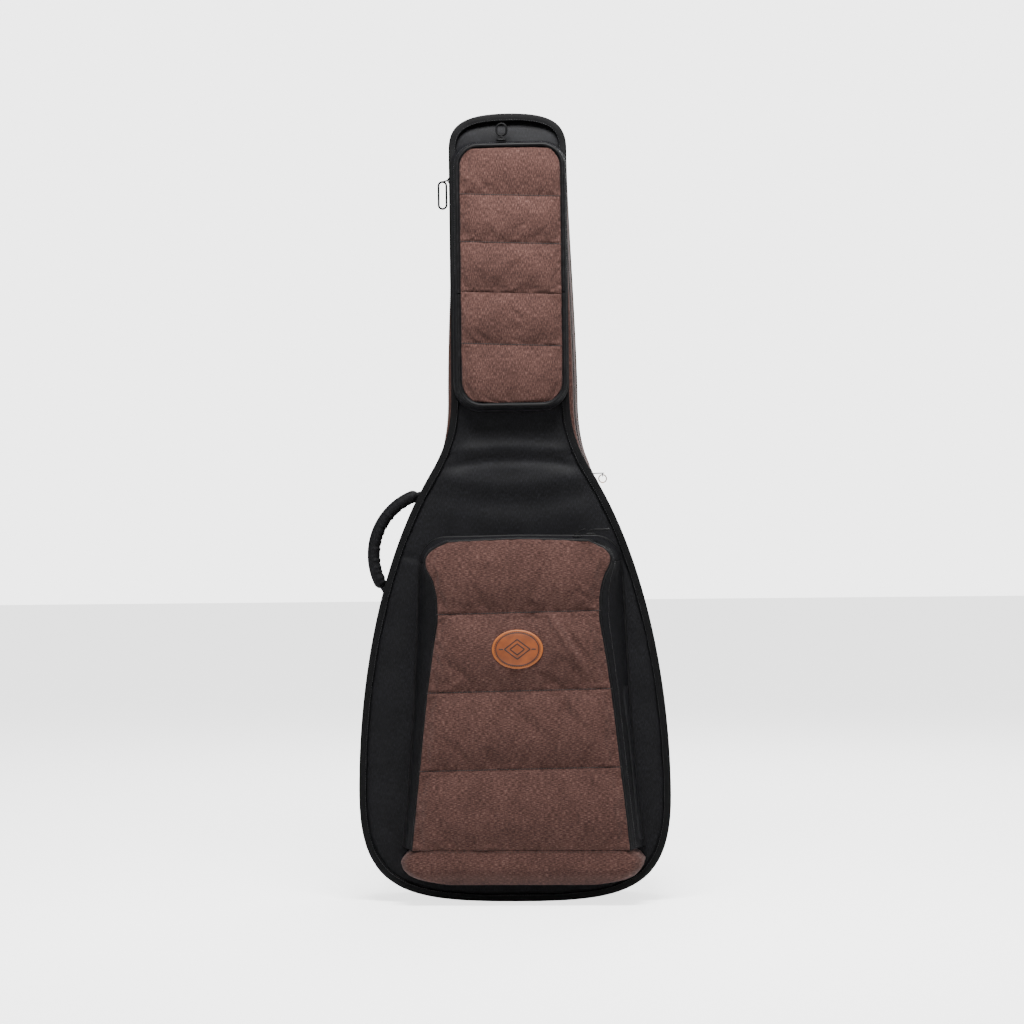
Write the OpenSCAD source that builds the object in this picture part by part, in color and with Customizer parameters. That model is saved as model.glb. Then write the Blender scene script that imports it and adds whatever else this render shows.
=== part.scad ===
// Padded gig bag for a full-size acoustic guitar.
// The bag stands upright: +Z runs up its length, its front faces -Y and its carry handle is on -X.
// The origin is the centre of the base guard's underside.

/* [Bag] */
// Height from the base guard to the top of the binding
bag_h = 1110; // [900:5:1400]
// Width over the binding at the lower bout
bag_w = 440; // [360:5:540]
// Depth of the case without its pockets
bag_d = 140; // [110:5:180]
// Width over the binding along the neck
neck_w = 166; // [150:2:200]
// Height at which the shoulders meet the neck
neck_z = 712; // [690:5:760]
// Thickness of the padded front and back panels
pad_t = 14; // [8:1:18]
// Thickness of the padded gusset
gusset_t = 12; // [6:1:16]
// Thickness of the plush linings
lining_t = 3; // [2:0.5:5]

/* [Edge and main zip] */
// How far the binding stands out past the gusset
flange = 10; // [4:1:14]
// Width of the binding band
binding_w = 10.8; // [6:0.2:16]
// Thickness of the binding band
binding_t = 2.5; // [1.5:0.5:4]
// Depth of gusset that opens with the lid
lid_gusset_d = 12; // [8:1:20]
// Gap between the lid and the case
part_gap = 0.3; // [0.2:0.1:0.6]
// Width of each zip track
track_w = 4; // [3:0.5:6]
// How far a zip track stands off the gusset
track_h = 1.5; // [1:0.5:3]

/* [Neck pocket] */
// Width of the neck pocket over its piping
np_w = 153; // [120:1:160]
// Width of the neck pocket at the panel
np_base_w = 164; // [130:1:166]
// How far the neck pocket stands proud
np_d = 30; // [20:1:45]
// Clear height below the bag's top
np_top_drop = 45; // [40:1:70]
// Height of the pocket's lower edge above the shoulders
np_low_rise = -16; // [-16:1:20]
// Height of the opening flap
np_flap_h = 210; // [120:5:240]
// Sideways place of the pocket
np_x = 5; // [-5:1:8]

/* [Body pocket] */
// Height of the body pocket's lower edge
bp_low = 29; // [26:1:60]
// Height of the body pocket's upper edge
bp_high = 511; // [420:1:540]
// Panel width at the upper edge
bp_top_w = 262; // [200:2:280]
// Panel width at the lower edge
bp_low_w = 326; // [260:2:330]
// How far the gusset flares between panel and case on each side
bp_flare = 11; // [4:1:14]
// How far the body pocket stands proud
bp_d = 62; // [40:1:80]
// Height of the seam that the panel hinges on
bp_seam_z = 79; // [70:1:110]
// Radius of the pocket's upper corners
bp_r = 30; // [20:1:45]
// Sideways place of the pocket
bp_x = 12; // [0:1:14]
// Thickness of the quilted pocket panels
quilt_t = 8; // [4:1:10]
// Thickness of the pocket gussets
pocket_t = 2.5; // [2:0.5:4]

/* [Patch] */
// Width of the oval leather patch
patch_w = 71; // [50:1:90]
// Height of the oval leather patch
patch_h = 54; // [40:1:70]
// Height of the patch's centre
patch_z = 359; // [300:1:380]
// Thickness of the leather
patch_t = 2.5; // [1.5:0.5:4]

/* [Handle] */
// Thickness of the padded grip
grip_d = 18; // [14:1:24]
// Reach of the grip's centre line from its anchors
grip_reach = 46; // [34:1:50]
// Height of the upper anchor
grip_top = 578; // [560:1:590]
// Height of the lower anchor
grip_low = 432; // [420:1:460]

/* [Shoulder straps] */
// Width of the strap pads
strap_w = 56; // [40:2:60]
// Thickness of the strap pads
strap_t = 12; // [8:1:14]
// Width of the webbing
web_w = 38; // [25:1:40]
// Thickness of the webbing
web_t = 3; // [2:0.5:4]
// How far the straps bow out from the back
strap_bow = 40; // [38:1:60]
// Height of the upper strap anchors
strap_top = 650; // [620:5:680]
// Height of the lower strap anchors
strap_low = 110; // [90:5:140]

/* [Base guard] */
// Width of the rubber base guard
guard_w = 120; // [90:5:150]
// Depth of the rubber base guard
guard_d = 104; // [80:2:110]

/* [Hidden] */

$fn = 48;
steps = 10;
big = 3000;

// Planes through the depth, front to back.
front_y = -bag_d / 2;
panel_in_y = front_y + pad_t;
zip_y = panel_in_y + lid_gusset_d;
back_y = bag_d / 2;
back_in_y = back_y - pad_t;

// The two outlines of the case. The gusset sits inside the binding and slopes in to the headstock.
lift = 0.5;
gusset_w = bag_w - 2 * flange;
gusset_low = flange + 2;
gusset_top = bag_h - flange + 1;
gusset_neck = neck_w / 2 + 5;
gusset_head = neck_w / 2 - 7;
head_drop = 50;
belly_z = 150;
waist_z = 470;
shoulder_z = 590;
shoulder_share = 0.555;

// Heights at which the gusset is pieced.
base_seam = 75;
side_seam = neck_z - 107;
head_seam = bag_h - 65;

function bezier(a, b, c, d) =
  [for (i = [0 : steps - 1]) let (t = i / steps, s = 1 - t)
    s * s * s * a + 3 * s * s * t * b + 3 * s * t * t * c + t * t * t * d];

// Right half of a case outline, from the bottom centre to the top centre.
function half_outline(w, low, n_low, n_high, top) =
  let (bump = shoulder_share * w)
  concat(
    bezier([0, low], [0.68 * w, low], [w, low + 11], [w, belly_z]),
    bezier([w, belly_z], [w, 2 * belly_z], [0.864 * w, waist_z], [bump, shoulder_z]),
    bezier([bump, shoulder_z], [0.86 * bump, shoulder_z + 30], [n_low, neck_z - 62], [n_low, neck_z]),
    bezier([n_low, neck_z], [n_low, neck_z + 90], [n_high, top - 110], [n_high, top - head_drop]),
    bezier([n_high, top - head_drop], [n_high, top - 15], [0.75 * n_high, top], [0, top]),
    [[0, top]]
  );

// Mirrors a right half whose first and last points lie on the centre line.
function whole(h) = concat(h, [for (i = [len(h) - 2 : -1 : 1]) [-h[i][0], h[i][1]]]);

// Moves a counter-clockwise loop inwards by d.
function inset(p, d) =
  let (n = len(p))
  [for (i = [0 : n - 1])
    let (t = p[(i + 1) % n] - p[(i + n - 1) % n], u = t / norm(t))
    p[i] + d * [-u[1], u[0]]];

FRONT = whole(half_outline(bag_w / 2, lift, neck_w / 2, neck_w / 2, bag_h));
GUSSET = whole(half_outline(gusset_w / 2, gusset_low, gusset_neck, gusset_head, gusset_top));

// A rounded trapezoid, counter-clockwise, as a pocket's outline.
function corner(x, z, r, from) =
  [for (i = [0 : 6]) let (a = from + i * 15) [x + r * cos(a), z + r * sin(a)]];
function pocket_outline(x, w_low, w_high, low, high, r_low, r_high) = concat(
  corner(x + w_low / 2 - r_low, low + r_low, r_low, -90),
  corner(x + w_high / 2 - r_high, high - r_high, r_high, 0),
  corner(x - w_high / 2 + r_high, high - r_high, r_high, 90),
  corner(x - w_low / 2 + r_low, low + r_low, r_low, 180)
);

// Neck pocket places.
np_low = neck_z + np_low_rise;
np_high = bag_h - np_top_drop;
np_front_y = front_y - np_d;
np_panel_y = np_front_y + quilt_t;
np_seam_z = np_high - np_flap_h;
np_r_low = 34;
np_r_high = 31;
np_rim = 6;
np_grow = (np_base_w - np_w) / 2;
np_base_x = np_x / 5;
NP_FRONT = pocket_outline(np_x, np_w, np_w, np_low, np_high, np_r_low, np_r_high);
NP_BASE = pocket_outline(np_base_x, np_base_w, np_base_w, np_low - np_grow, np_high + np_grow,
  np_r_low + np_grow, np_r_high + np_grow);

// Body pocket places.
bp_front_y = front_y - bp_d;
bp_panel_y = bp_front_y + quilt_t;
bp_r_low = 34;
bp_rim = 4;
piping_h = 1.5;
bp_low_drop = 1;
BP_FRONT = pocket_outline(bp_x, bp_low_w, bp_top_w, bp_low, bp_high, bp_r_low, bp_r);
BP_BASE = pocket_outline(bp_x, bp_low_w + bp_flare, bp_top_w + 2 * bp_flare, bp_low - bp_low_drop,
  bp_high + 2, bp_r_low, bp_r + bp_flare);

// A flat shape in X and Z, given a depth from y0 to y1.
module slab(y0, y1) {
  translate([0, y1, 0]) rotate([90, 0, 0]) linear_extrude(y1 - y0) children();
}

module ring(outer, inner) {
  difference() {
    polygon(outer);
    polygon(inner);
  }
}

// Everything between two heights, and between two sides.
module zone(z0, z1, x0 = -big, x1 = big) {
  translate([x0, -big / 2, z0]) cube([x1 - x0, big, z1 - z0]);
}

module block(a, b) {
  translate(a) cube(b - a);
}

// ---- Case ----

module case_gusset() {
  slab(zip_y + part_gap, back_y - pad_t) ring(GUSSET, inset(GUSSET, gusset_t));
}

module back_panel() {
  color("#241f20") slab(back_in_y, back_y) polygon(GUSSET);
}

module base_gusset() {
  color("#6b4d44") intersection() {
    case_gusset();
    zone(-10, base_seam);
  }
}

module left_side_gusset() {
  color("#6b4d44") intersection() {
    case_gusset();
    zone(base_seam, side_seam, -big, 0);
  }
}

module right_side_gusset() {
  color("#6b4d44") intersection() {
    case_gusset();
    zone(base_seam, side_seam, 0, big);
  }
}

module left_neck_gusset() {
  color("#6b4d44") intersection() {
    case_gusset();
    zone(side_seam, head_seam, -big, 0);
  }
}

module right_neck_gusset() {
  color("#6b4d44") intersection() {
    case_gusset();
    zone(side_seam, head_seam, 0, big);
  }
}

module headstock_gusset() {
  color("#6b4d44") intersection() {
    case_gusset();
    zone(head_seam, bag_h);
  }
}

// Moulded to the curve of the base gusset, with a flat underside to stand on.
guard_front_y = zip_y + track_w + 4;
guard_h = 16;

module base_guard() {
  color("#1c1c1e") difference() {
    block([-guard_w / 2, guard_front_y, 0], [guard_w / 2, guard_front_y + guard_d, guard_h]);
    slab(-bag_d, bag_d) polygon(GUSSET);
  }
}

module back_binding() {
  color("#101012") slab(back_y, back_y + 2) ring(GUSSET, inset(GUSSET, 6));
}

module back_lining() {
  color("#2c2a2c") slab(back_in_y - lining_t, back_in_y) polygon(inset(GUSSET, gusset_t));
}

// Padded block with a notch that the guitar's neck lies in.
cradle_z = neck_z + 90;
cradle_h = 60;
cradle_y = back_in_y - lining_t;
cradle_d = 46;
notch_w = 56;
notch_d = 34;
cradle_clear = 1;

module neck_cradle() {
  color("#343236") difference() {
    intersection() {
      slab(cradle_y - cradle_d, cradle_y) polygon(inset(GUSSET, gusset_t + cradle_clear));
      zone(cradle_z, cradle_z + cradle_h);
    }
    block([-notch_w / 2, -bag_d, cradle_z - 1],
      [notch_w / 2, cradle_y - cradle_d + notch_d, cradle_z + cradle_h + 1]);
  }
}

// Hook-and-loop strap, closed across the notch.
neck_strap_w = 32;

module neck_strap() {
  y = cradle_y - cradle_d;
  z = cradle_z + (cradle_h - neck_strap_w) / 2;
  color("#18181a") block([-neck_w / 2 + 26, y - web_t, z], [neck_w / 2 - 26, y, z + neck_strap_w]);
}

// Foam block that takes the guitar's end pin.
end_block_top = 52;
end_block_w = 190;

module end_block() {
  color("#343236") intersection() {
    slab(back_in_y - lining_t - 70, back_in_y - lining_t) polygon(inset(GUSSET, gusset_t));
    zone(0, end_block_top, -end_block_w / 2, end_block_w / 2);
  }
}

module case_zip_track() {
  color("#141416") slab(zip_y + part_gap, zip_y + part_gap + track_w)
    ring(inset(GUSSET, -track_h), GUSSET);
}

// Reinforcing strip down the side where the lid hinges.
hinge_low = 90;
hinge_high = 400;

module hinge_strip() {
  color("#101012") intersection() {
    slab(zip_y + part_gap + track_w, zip_y + 30) ring(inset(GUSSET, -1.2), GUSSET);
    zone(hinge_low, hinge_high, -big, 0);
  }
}

// Two thin pads between the shoulder straps.
pad_gap = 8;

module back_pads() {
  color("#1d1d20") {
    slab(back_y, back_y + pad_gap)
      polygon(pocket_outline(0, 76, 76, 400, 560, 18, 18));
    slab(back_y, back_y + pad_gap)
      polygon(pocket_outline(0, 120, 120, 170, 340, 24, 24));
  }
}

// ---- Shoulder straps ----
// Each strap is an arch between its anchors, and swings about the line through them.

strap_top_x = 60;
strap_low_x = 150;
strap_y = back_y + 2;
strap_len = norm([strap_low_x - strap_top_x, strap_top - strap_low]);
strap_lean = atan2(strap_low_x - strap_top_x, strap_top - strap_low);
strap_r = (pow(strap_len / 2, 2) + pow(strap_bow, 2)) / (2 * strap_bow);
strap_half = asin(strap_len / 2 / strap_r);
pad_from = 110;
pad_to = 390;
buckle_len = 34;
tail_gap = 2;

// Angle along the arch at a distance down from the upper anchor.
function strap_angle(s) = strap_half - 2 * strap_half * s / strap_len;

// A stretch of the arch, as a flat band w wide and t thick.
module strap_arc(side, s0, s1, w, t) {
  a0 = strap_angle(s1);
  a1 = strap_angle(s0);
  translate([side * (strap_top_x + strap_low_x) / 2, strap_y, (strap_top + strap_low) / 2])
    rotate([0, side * -strap_lean, 0])
      translate([0, strap_bow - strap_r, 0])
        rotate([90, 0, 90]) rotate([0, 0, a0])
          rotate_extrude(angle = a1 - a0)
            translate([strap_r - t / 2, -w / 2]) square([t, w]);
}

module strap_pad(side) {
  strap_arc(side, pad_from, pad_to, strap_w, strap_t);
}

// Ladder lock below the pad, with two slots for the webbing.
module strap_buckle(side) {
  bar = 5;
  difference() {
    strap_arc(side, pad_to, pad_to + buckle_len, web_w + 8, 6);
    strap_arc(side, pad_to + bar, pad_to + buckle_len / 2 - bar / 2, web_w, 12);
    strap_arc(side, pad_to + buckle_len / 2 + bar / 2, pad_to + buckle_len - bar, web_w, 12);
  }
}

module strap_tails(side) {
  difference() {
    union() {
      strap_arc(side, 0, pad_from - tail_gap, web_w, web_t);
      strap_arc(side, pad_to + buckle_len + tail_gap, strap_len, web_w, web_t);
    }
    block([-big, -big, -big], [big, back_y, big]);
    yoke_shape(0.2);
  }
}

module yoke_shape(grow = 0) {
  slab(back_y - 1, back_y + 4 + grow)
    polygon(pocket_outline(0, 170 + grow, 150 + grow, 600 - grow, 690 + grow, 20, 20));
}

module strap_yoke() {
  color("#17171a") intersection() {
    yoke_shape();
    block([-big, back_y, -big], [big, big, big]);
  }
}

module left_strap_tails() {
  color("#141416") strap_tails(-1);
}

module right_strap_tails() {
  color("#141416") strap_tails(1);
}

module left_shoulder_strap() {
  color("#1d1d20") strap_pad(-1);
}

module right_shoulder_strap() {
  color("#1d1d20") strap_pad(1);
}

module left_strap_buckle() {
  color("#0e0e10") strap_buckle(-1);
}

module right_strap_buckle() {
  color("#0e0e10") strap_buckle(1);
}

// ---- Carry handle ----
// A padded arc between two anchors on the left gusset.

grip_y = 10;
grip_top_x = -126.6;
grip_low_x = -184.6;
grip_a = [grip_top_x, grip_y, grip_top];
grip_b = [grip_low_x, grip_y, grip_low];
grip_len = norm(grip_a - grip_b);
grip_lean = atan2(grip_top_x - grip_low_x, grip_top - grip_low);
grip_r = (pow(grip_len / 2, 2) + pow(grip_reach, 2)) / (2 * grip_reach);
grip_half = asin(grip_len / 2 / grip_r);
grip_end = 16;
lead_w = 7;

module grip_arc(a0, a1, d) {
  translate((grip_a + grip_b) / 2)
    rotate([0, grip_lean, 0])
      translate([grip_r - grip_reach, 0, 0])
        rotate([90, 0, 0]) rotate([0, 0, 180 + a0])
          rotate_extrude(angle = a1 - a0) translate([grip_r, 0]) circle(d = d);
}

module carry_handle() {
  color("#151517") {
    grip_arc(-grip_half + grip_end, grip_half - grip_end, grip_d);
    grip_arc(-grip_half + 4, -grip_half + grip_end + 2, lead_w);
    grip_arc(grip_half - grip_end - 2, grip_half - 4, lead_w);
  }
}

// Webbing patches sewn to the gusset under each end of the grip.
module handle_anchors() {
  color("#141416") intersection() {
    slab(grip_y - 15, grip_y + 15) ring(inset(GUSSET, -2.2), GUSSET);
    union() {
      zone(grip_top - 18, grip_top + 22, -big, 0);
      zone(grip_low - 24, grip_low + 14, -big, 0);
    }
  }
}

// ---- Side ring ----

ring_z = 595;
ring_x = 127;
ring_r = 5.5;
ring_wire = 1.5;
ring_y = -20;

module side_ring() {
  color("#9c7a5e") translate([ring_x, ring_y, ring_z]) rotate([90, 0, 0])
    rotate_extrude() translate([ring_r, 0]) circle(d = ring_wire);
}

// Sewn loop of tape that the ring hangs from.
module side_ring_tab() {
  z = ring_z + ring_r;
  color("#141416") difference() {
    union() {
      translate([ring_x - 2, ring_y, z]) rotate([0, 90, 0]) cylinder(r = 2.8, h = 4);
      block([ring_x - 22, ring_y - 5, z + 1.6], [ring_x + 2, ring_y + 5, z + 2.8]);
    }
    translate([ring_x - 3, ring_y, z]) rotate([0, 90, 0]) cylinder(r = 1.8, h = 6);
    slab(-bag_d, bag_d) polygon(GUSSET);
  }
}

// ---- Hang loop ----

loop_z = bag_h - 32;
loop_y = back_y + 6;
loop_len = 75;
loop_w = 25;
loop_out = 8;
loop_r = 11;

// Teardrop in Y and Z: two circles and their tangents, grown by g.
module teardrop(g) {
  d = [loop_out, -loop_len];
  n = [d[1], -d[0]] / norm(d);
  polygon([(1 + g) * n, d + (loop_r - 3 + g) * n, d - (loop_r - 3 + g) * n, -(1 + g) * n]);
  circle(r = 1 + g);
  translate(d) circle(r = loop_r - 3 + g);
}

module hang_loop() {
  color("#141416") translate([-loop_w / 2, loop_y, loop_z]) rotate([90, 0, 90])
    linear_extrude(loop_w) difference() {
      teardrop(web_t);
      teardrop(0);
    }
}

module hang_loop_patch() {
  color("#141416") slab(back_y, back_y + 1.6)
    polygon(pocket_outline(0, 44, 44, loop_z - 26, loop_z + 12, 5, 5));
}

// ---- Lid ----

module lid_gusset() {
  slab(panel_in_y, zip_y) ring(GUSSET, inset(GUSSET, gusset_t));
}

module front_panel() {
  color("#232326") slab(front_y, panel_in_y) polygon(inset(FRONT, 2));
}

module front_binding() {
  color("#0f0f11") slab(front_y - binding_t, front_y) difference() {
    ring(FRONT, inset(FRONT, binding_w));
    polygon(inset(NP_BASE, -0.5));
    polygon(inset(BP_BASE, -0.5));
  }
}

module lid_base_gusset() {
  color("#6b4d44") intersection() {
    lid_gusset();
    zone(-10, base_seam);
  }
}

module lid_left_gusset() {
  color("#6b4d44") intersection() {
    lid_gusset();
    zone(base_seam, head_seam, -big, 0);
  }
}

module lid_right_gusset() {
  color("#6b4d44") intersection() {
    lid_gusset();
    zone(base_seam, head_seam, 0, big);
  }
}

module lid_headstock_gusset() {
  color("#6b4d44") intersection() {
    lid_gusset();
    zone(head_seam, bag_h);
  }
}

module lid_lining() {
  color("#2c2a2c") slab(panel_in_y, panel_in_y + lining_t)
    polygon(inset(GUSSET, gusset_t));
}

module lid_zip_track() {
  color("#141416") slab(zip_y - track_w, zip_y) ring(inset(GUSSET, -track_h), GUSSET);
}

// ---- Neck pocket ----

module pocket_hull(base, front, wall_y, y_in) {
  hull() {
    slab(wall_y, wall_y + 0.01) polygon(front);
    slab(y_in - 0.01, y_in) polygon(base);
  }
}

module pocket_wall(base, front, wall_y) {
  difference() {
    pocket_hull(base, front, wall_y, front_y);
    pocket_hull(inset(base, pocket_t), inset(front, pocket_t), wall_y - 1, front_y + 1);
  }
}

np_wall_low = np_low + 40;
np_wall_high = np_high - 36;

module neck_pocket_wall() {
  pocket_wall(NP_BASE, NP_FRONT, np_panel_y);
}

module neck_pocket_left_wall() {
  color("#161618") intersection() {
    neck_pocket_wall();
    zone(np_wall_low, np_wall_high, -big, 0);
  }
}

module neck_pocket_right_wall() {
  color("#161618") intersection() {
    neck_pocket_wall();
    zone(np_wall_low, np_wall_high, 0, big);
  }
}

module neck_pocket_top_wall() {
  color("#161618") intersection() {
    neck_pocket_wall();
    zone(np_wall_high, bag_h + big);
  }
}

module neck_pocket_base_wall() {
  color("#161618") intersection() {
    neck_pocket_wall();
    zone(0, np_wall_low);
  }
}

module neck_quilt() {
  slab(np_front_y, np_panel_y) polygon(inset(NP_FRONT, np_rim));
}

module neck_rim() {
  slab(np_front_y, np_panel_y) ring(NP_FRONT, inset(NP_FRONT, np_rim));
}

module neck_pocket_panel() {
  color("#6e5048") intersection() {
    neck_quilt();
    zone(0, np_seam_z - part_gap);
  }
}

module neck_pocket_piping() {
  color("#111113") intersection() {
    neck_rim();
    zone(0, np_seam_z - part_gap);
  }
}

module neck_pocket_flap() {
  color("#6e5048") intersection() {
    neck_quilt();
    zone(np_seam_z + part_gap, bag_h);
  }
}

module neck_flap_piping() {
  color("#111113") intersection() {
    neck_rim();
    zone(np_seam_z + part_gap, bag_h);
  }
}

// ---- Body pocket ----

bp_wall_high = bp_high - 46;

module body_pocket_wall() {
  pocket_wall(BP_BASE, BP_FRONT, bp_panel_y);
}

module body_pocket_left_wall() {
  color("#161618") intersection() {
    body_pocket_wall();
    zone(bp_seam_z, bp_wall_high, -big, 0);
  }
}

module body_pocket_right_wall() {
  color("#161618") intersection() {
    body_pocket_wall();
    zone(bp_seam_z, bp_wall_high, 0, big);
  }
}

module body_pocket_top_wall() {
  color("#161618") intersection() {
    body_pocket_wall();
    zone(bp_wall_high, bag_h);
  }
}

// Fixed strip of the panel below the seam, with the pocket's floor.
module body_pocket_base() {
  color("#744f42") {
    intersection() {
      slab(bp_front_y, bp_panel_y) polygon(BP_FRONT);
      zone(0, bp_seam_z - part_gap);
    }
    intersection() {
      body_pocket_wall();
      zone(0, bp_seam_z);
    }
  }
}

module body_pocket_panel() {
  color("#6e5048") intersection() {
    slab(bp_front_y, bp_panel_y - part_gap) polygon(inset(BP_FRONT, bp_rim));
    zone(bp_seam_z + part_gap, bag_h);
  }
}

module body_pocket_piping() {
  color("#111113") intersection() {
    slab(bp_front_y - piping_h, bp_panel_y - part_gap)
      ring(BP_FRONT, inset(BP_FRONT, bp_rim));
    zone(bp_seam_z + part_gap, bag_h);
  }
}

patch_x = bp_x - 1;

module leather_patch() {
  color("#b96932") slab(bp_front_y - patch_t, bp_front_y)
    polygon([for (i = [0 : 47]) let (a = i * 7.5)
      [patch_x + patch_w / 2 * cos(a), patch_z + patch_h / 2 * sin(a)]]);
}

// ---- Zip sliders and pulls ----

slider_l = 14;
slider_w = 9;
slider_t = 3;
slide_gap = 0.5;
bail_h = 3;

// A slider plate with a bail, lying in X and Y with its outside up.
module slider() {
  difference() {
    union() {
      block([-slider_l / 2, -slider_w / 2, 0], [slider_l / 2, slider_w / 2, slider_t]);
      block([-3.5, -1.5, slider_t], [3.5, 1.5, slider_t + bail_h]);
    }
    translate([0, 5, slider_t + 1.4]) rotate([90, 0, 0]) cylinder(r = 1.2, h = 10);
  }
}

// A flat wire loop hanging towards -Z from the origin, in the XZ plane.
module wire_loop(w, l, d) {
  r = w / 2;
  for (s = [-1, 1])
    translate([s * r, 0, -l + r]) cylinder(d = d, h = l - 2 * r);
  translate([0, 0, -r]) rotate([90, 0, 0])
    rotate_extrude(angle = 180) translate([r, 0]) circle(d = d);
  translate([0, 0, -l + r]) rotate([90, 180, 0])
    rotate_extrude(angle = 180) translate([r, 0]) circle(d = d);
}

main_slider_z = bag_h - 90;
main_lean = atan2(gusset_neck - gusset_head, gusset_top - head_drop - neck_z);
main_slider_share = (main_slider_z - neck_z) / (gusset_top - head_drop - neck_z);
main_slider_x = -(gusset_neck + (gusset_head - gusset_neck) * main_slider_share)
  - track_h - slide_gap - 2;
main_pull_w = 11;
main_pull_x = main_slider_x - slider_t - bail_h - main_pull_w / 2 - 2;

module main_zip_slider() {
  color("#0e0e10") translate([main_slider_x, zip_y, main_slider_z])
    rotate([0, main_lean, 0]) rotate([0, -90, 0]) slider();
}

module main_zip_pull() {
  color("#0e0e10") translate([main_pull_x, zip_y, main_slider_z - 2]) wire_loop(main_pull_w, 38, 2.2);
}

np_slider_x = np_x - 12;
np_slider_y = np_panel_y + slider_w / 2 + 1;
np_slider_z = np_high + np_grow / 2 + slide_gap + 1;
np_pull_lean = 42;

module neck_pocket_slider() {
  color("#0e0e10") translate([np_slider_x, np_slider_y, np_slider_z]) slider();
}

np_pull_y = np_slider_y;
np_pull_z = np_slider_z + slider_t + bail_h + 2;

module neck_pocket_pull() {
  color("#0e0e10") translate([np_slider_x, np_pull_y, np_pull_z])
    rotate([180 - np_pull_lean / 2, 0, 0]) wire_loop(14, 18, 2);
}

bp_slider_y = bp_panel_y + slider_w / 2 + 1;
bp_left_slider_x = bp_x + bp_top_w / 2 - bp_r - 18;
bp_left_slider_z = bp_high + 1 + slide_gap;
bp_corner_x = bp_x + bp_top_w / 2 - bp_r;
bp_corner_z = bp_high - bp_r;
bp_right_slider_z = bp_high + 5;

module body_pocket_slider_left() {
  color("#0e0e10") translate([bp_left_slider_x, bp_slider_y, bp_left_slider_z]) slider();
}

module body_pocket_slider_right() {
  color("#0e0e10") translate([bp_corner_x, bp_slider_y, bp_right_slider_z]) slider();
}

// A flat tab pull l long, lying along +X from the origin.
module tab_pull(l, w, t) {
  block([0, -w / 2, -t / 2], [l - w / 2, w / 2, t / 2]);
  translate([l - w / 2, 0, -t / 2]) cylinder(d = w, h = t);
}

pull_lift = 7.2;
left_pull_tilt = 20;

module body_pocket_pull_left() {
  color("#0e0e10") translate([bp_left_slider_x, bp_slider_y, bp_left_slider_z + pull_lift])
    rotate([0, -left_pull_tilt, 0]) tab_pull(12, 5, 1.6);
}

module body_pocket_pull_right() {
  color("#0e0e10") translate([bp_corner_x, bp_slider_y, bp_right_slider_z + pull_lift])
    tab_pull(27, 4, 1.6);
}

back_panel();
base_gusset();
left_side_gusset();
right_side_gusset();
left_neck_gusset();
right_neck_gusset();
headstock_gusset();
base_guard();
back_binding();
back_lining();
neck_cradle();
neck_strap();
end_block();
case_zip_track();
hinge_strip();
back_pads();
strap_yoke();
left_strap_tails();
right_strap_tails();
handle_anchors();
side_ring_tab();
hang_loop_patch();
front_panel();
front_binding();
lid_base_gusset();
lid_left_gusset();
lid_right_gusset();
lid_headstock_gusset();
lid_lining();
lid_zip_track();
neck_pocket_left_wall();
neck_pocket_right_wall();
neck_pocket_top_wall();
neck_pocket_base_wall();
neck_pocket_panel();
neck_pocket_piping();
body_pocket_left_wall();
body_pocket_right_wall();
body_pocket_top_wall();
body_pocket_base();
neck_pocket_flap();
neck_flap_piping();
neck_pocket_slider();
neck_pocket_pull();
body_pocket_slider_left();
body_pocket_pull_left();
body_pocket_slider_right();
body_pocket_pull_right();
main_zip_slider();
main_zip_pull();
body_pocket_panel();
body_pocket_piping();
leather_patch();
carry_handle();
left_shoulder_strap();
right_shoulder_strap();
left_strap_buckle();
right_strap_buckle();
side_ring();
hang_loop();
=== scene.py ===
import math

import bmesh
import bpy
import numpy as np
from mathutils import Matrix, Vector


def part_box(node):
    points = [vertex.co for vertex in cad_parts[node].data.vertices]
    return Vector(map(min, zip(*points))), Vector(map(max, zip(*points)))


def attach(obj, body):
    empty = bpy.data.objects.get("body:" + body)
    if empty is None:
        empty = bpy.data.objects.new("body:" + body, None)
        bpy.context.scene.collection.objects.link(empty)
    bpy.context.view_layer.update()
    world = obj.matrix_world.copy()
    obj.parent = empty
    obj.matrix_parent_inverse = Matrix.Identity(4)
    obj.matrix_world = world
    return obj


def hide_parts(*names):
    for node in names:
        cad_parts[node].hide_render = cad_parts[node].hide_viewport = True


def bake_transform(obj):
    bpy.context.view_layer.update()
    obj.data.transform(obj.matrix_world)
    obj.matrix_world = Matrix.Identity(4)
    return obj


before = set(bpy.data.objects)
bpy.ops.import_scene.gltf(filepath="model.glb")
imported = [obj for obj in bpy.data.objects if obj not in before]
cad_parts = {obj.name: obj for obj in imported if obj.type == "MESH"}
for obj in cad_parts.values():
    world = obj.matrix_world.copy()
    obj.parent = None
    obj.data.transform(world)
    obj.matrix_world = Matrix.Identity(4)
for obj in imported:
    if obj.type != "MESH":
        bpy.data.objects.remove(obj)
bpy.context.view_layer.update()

# ---- Camera, floor and studio light -------------------------------------------------------------
# A long lens at the bag's mid height, a few degrees round to its right, with a slight roll. The sky
# and the floor are paler to the camera than the light they cast, so the black cloth stays deep.

scene = bpy.context.scene
camera = bpy.data.objects.new("camera", bpy.data.cameras.new("camera"))
scene.collection.objects.link(camera)
scene.camera = camera
camera_distance = 4.2
camera_turn = math.radians(4.0)
camera_roll = math.radians(-0.65)
aim = Vector((-0.004, 0.0, 0.549))
camera.location = aim + camera_distance * Vector((math.sin(camera_turn), -math.cos(camera_turn), 0))
frame_width = 1.441
camera.data.lens = camera.data.sensor_width * (camera_distance - 0.07) / frame_width
facing = (aim - camera.location).to_track_quat("-Z", "Y").to_matrix().to_4x4()
camera.matrix_world = Matrix.Translation(camera.location) @ facing @ Matrix.Rotation(camera_roll, 4, "Z")


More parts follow.
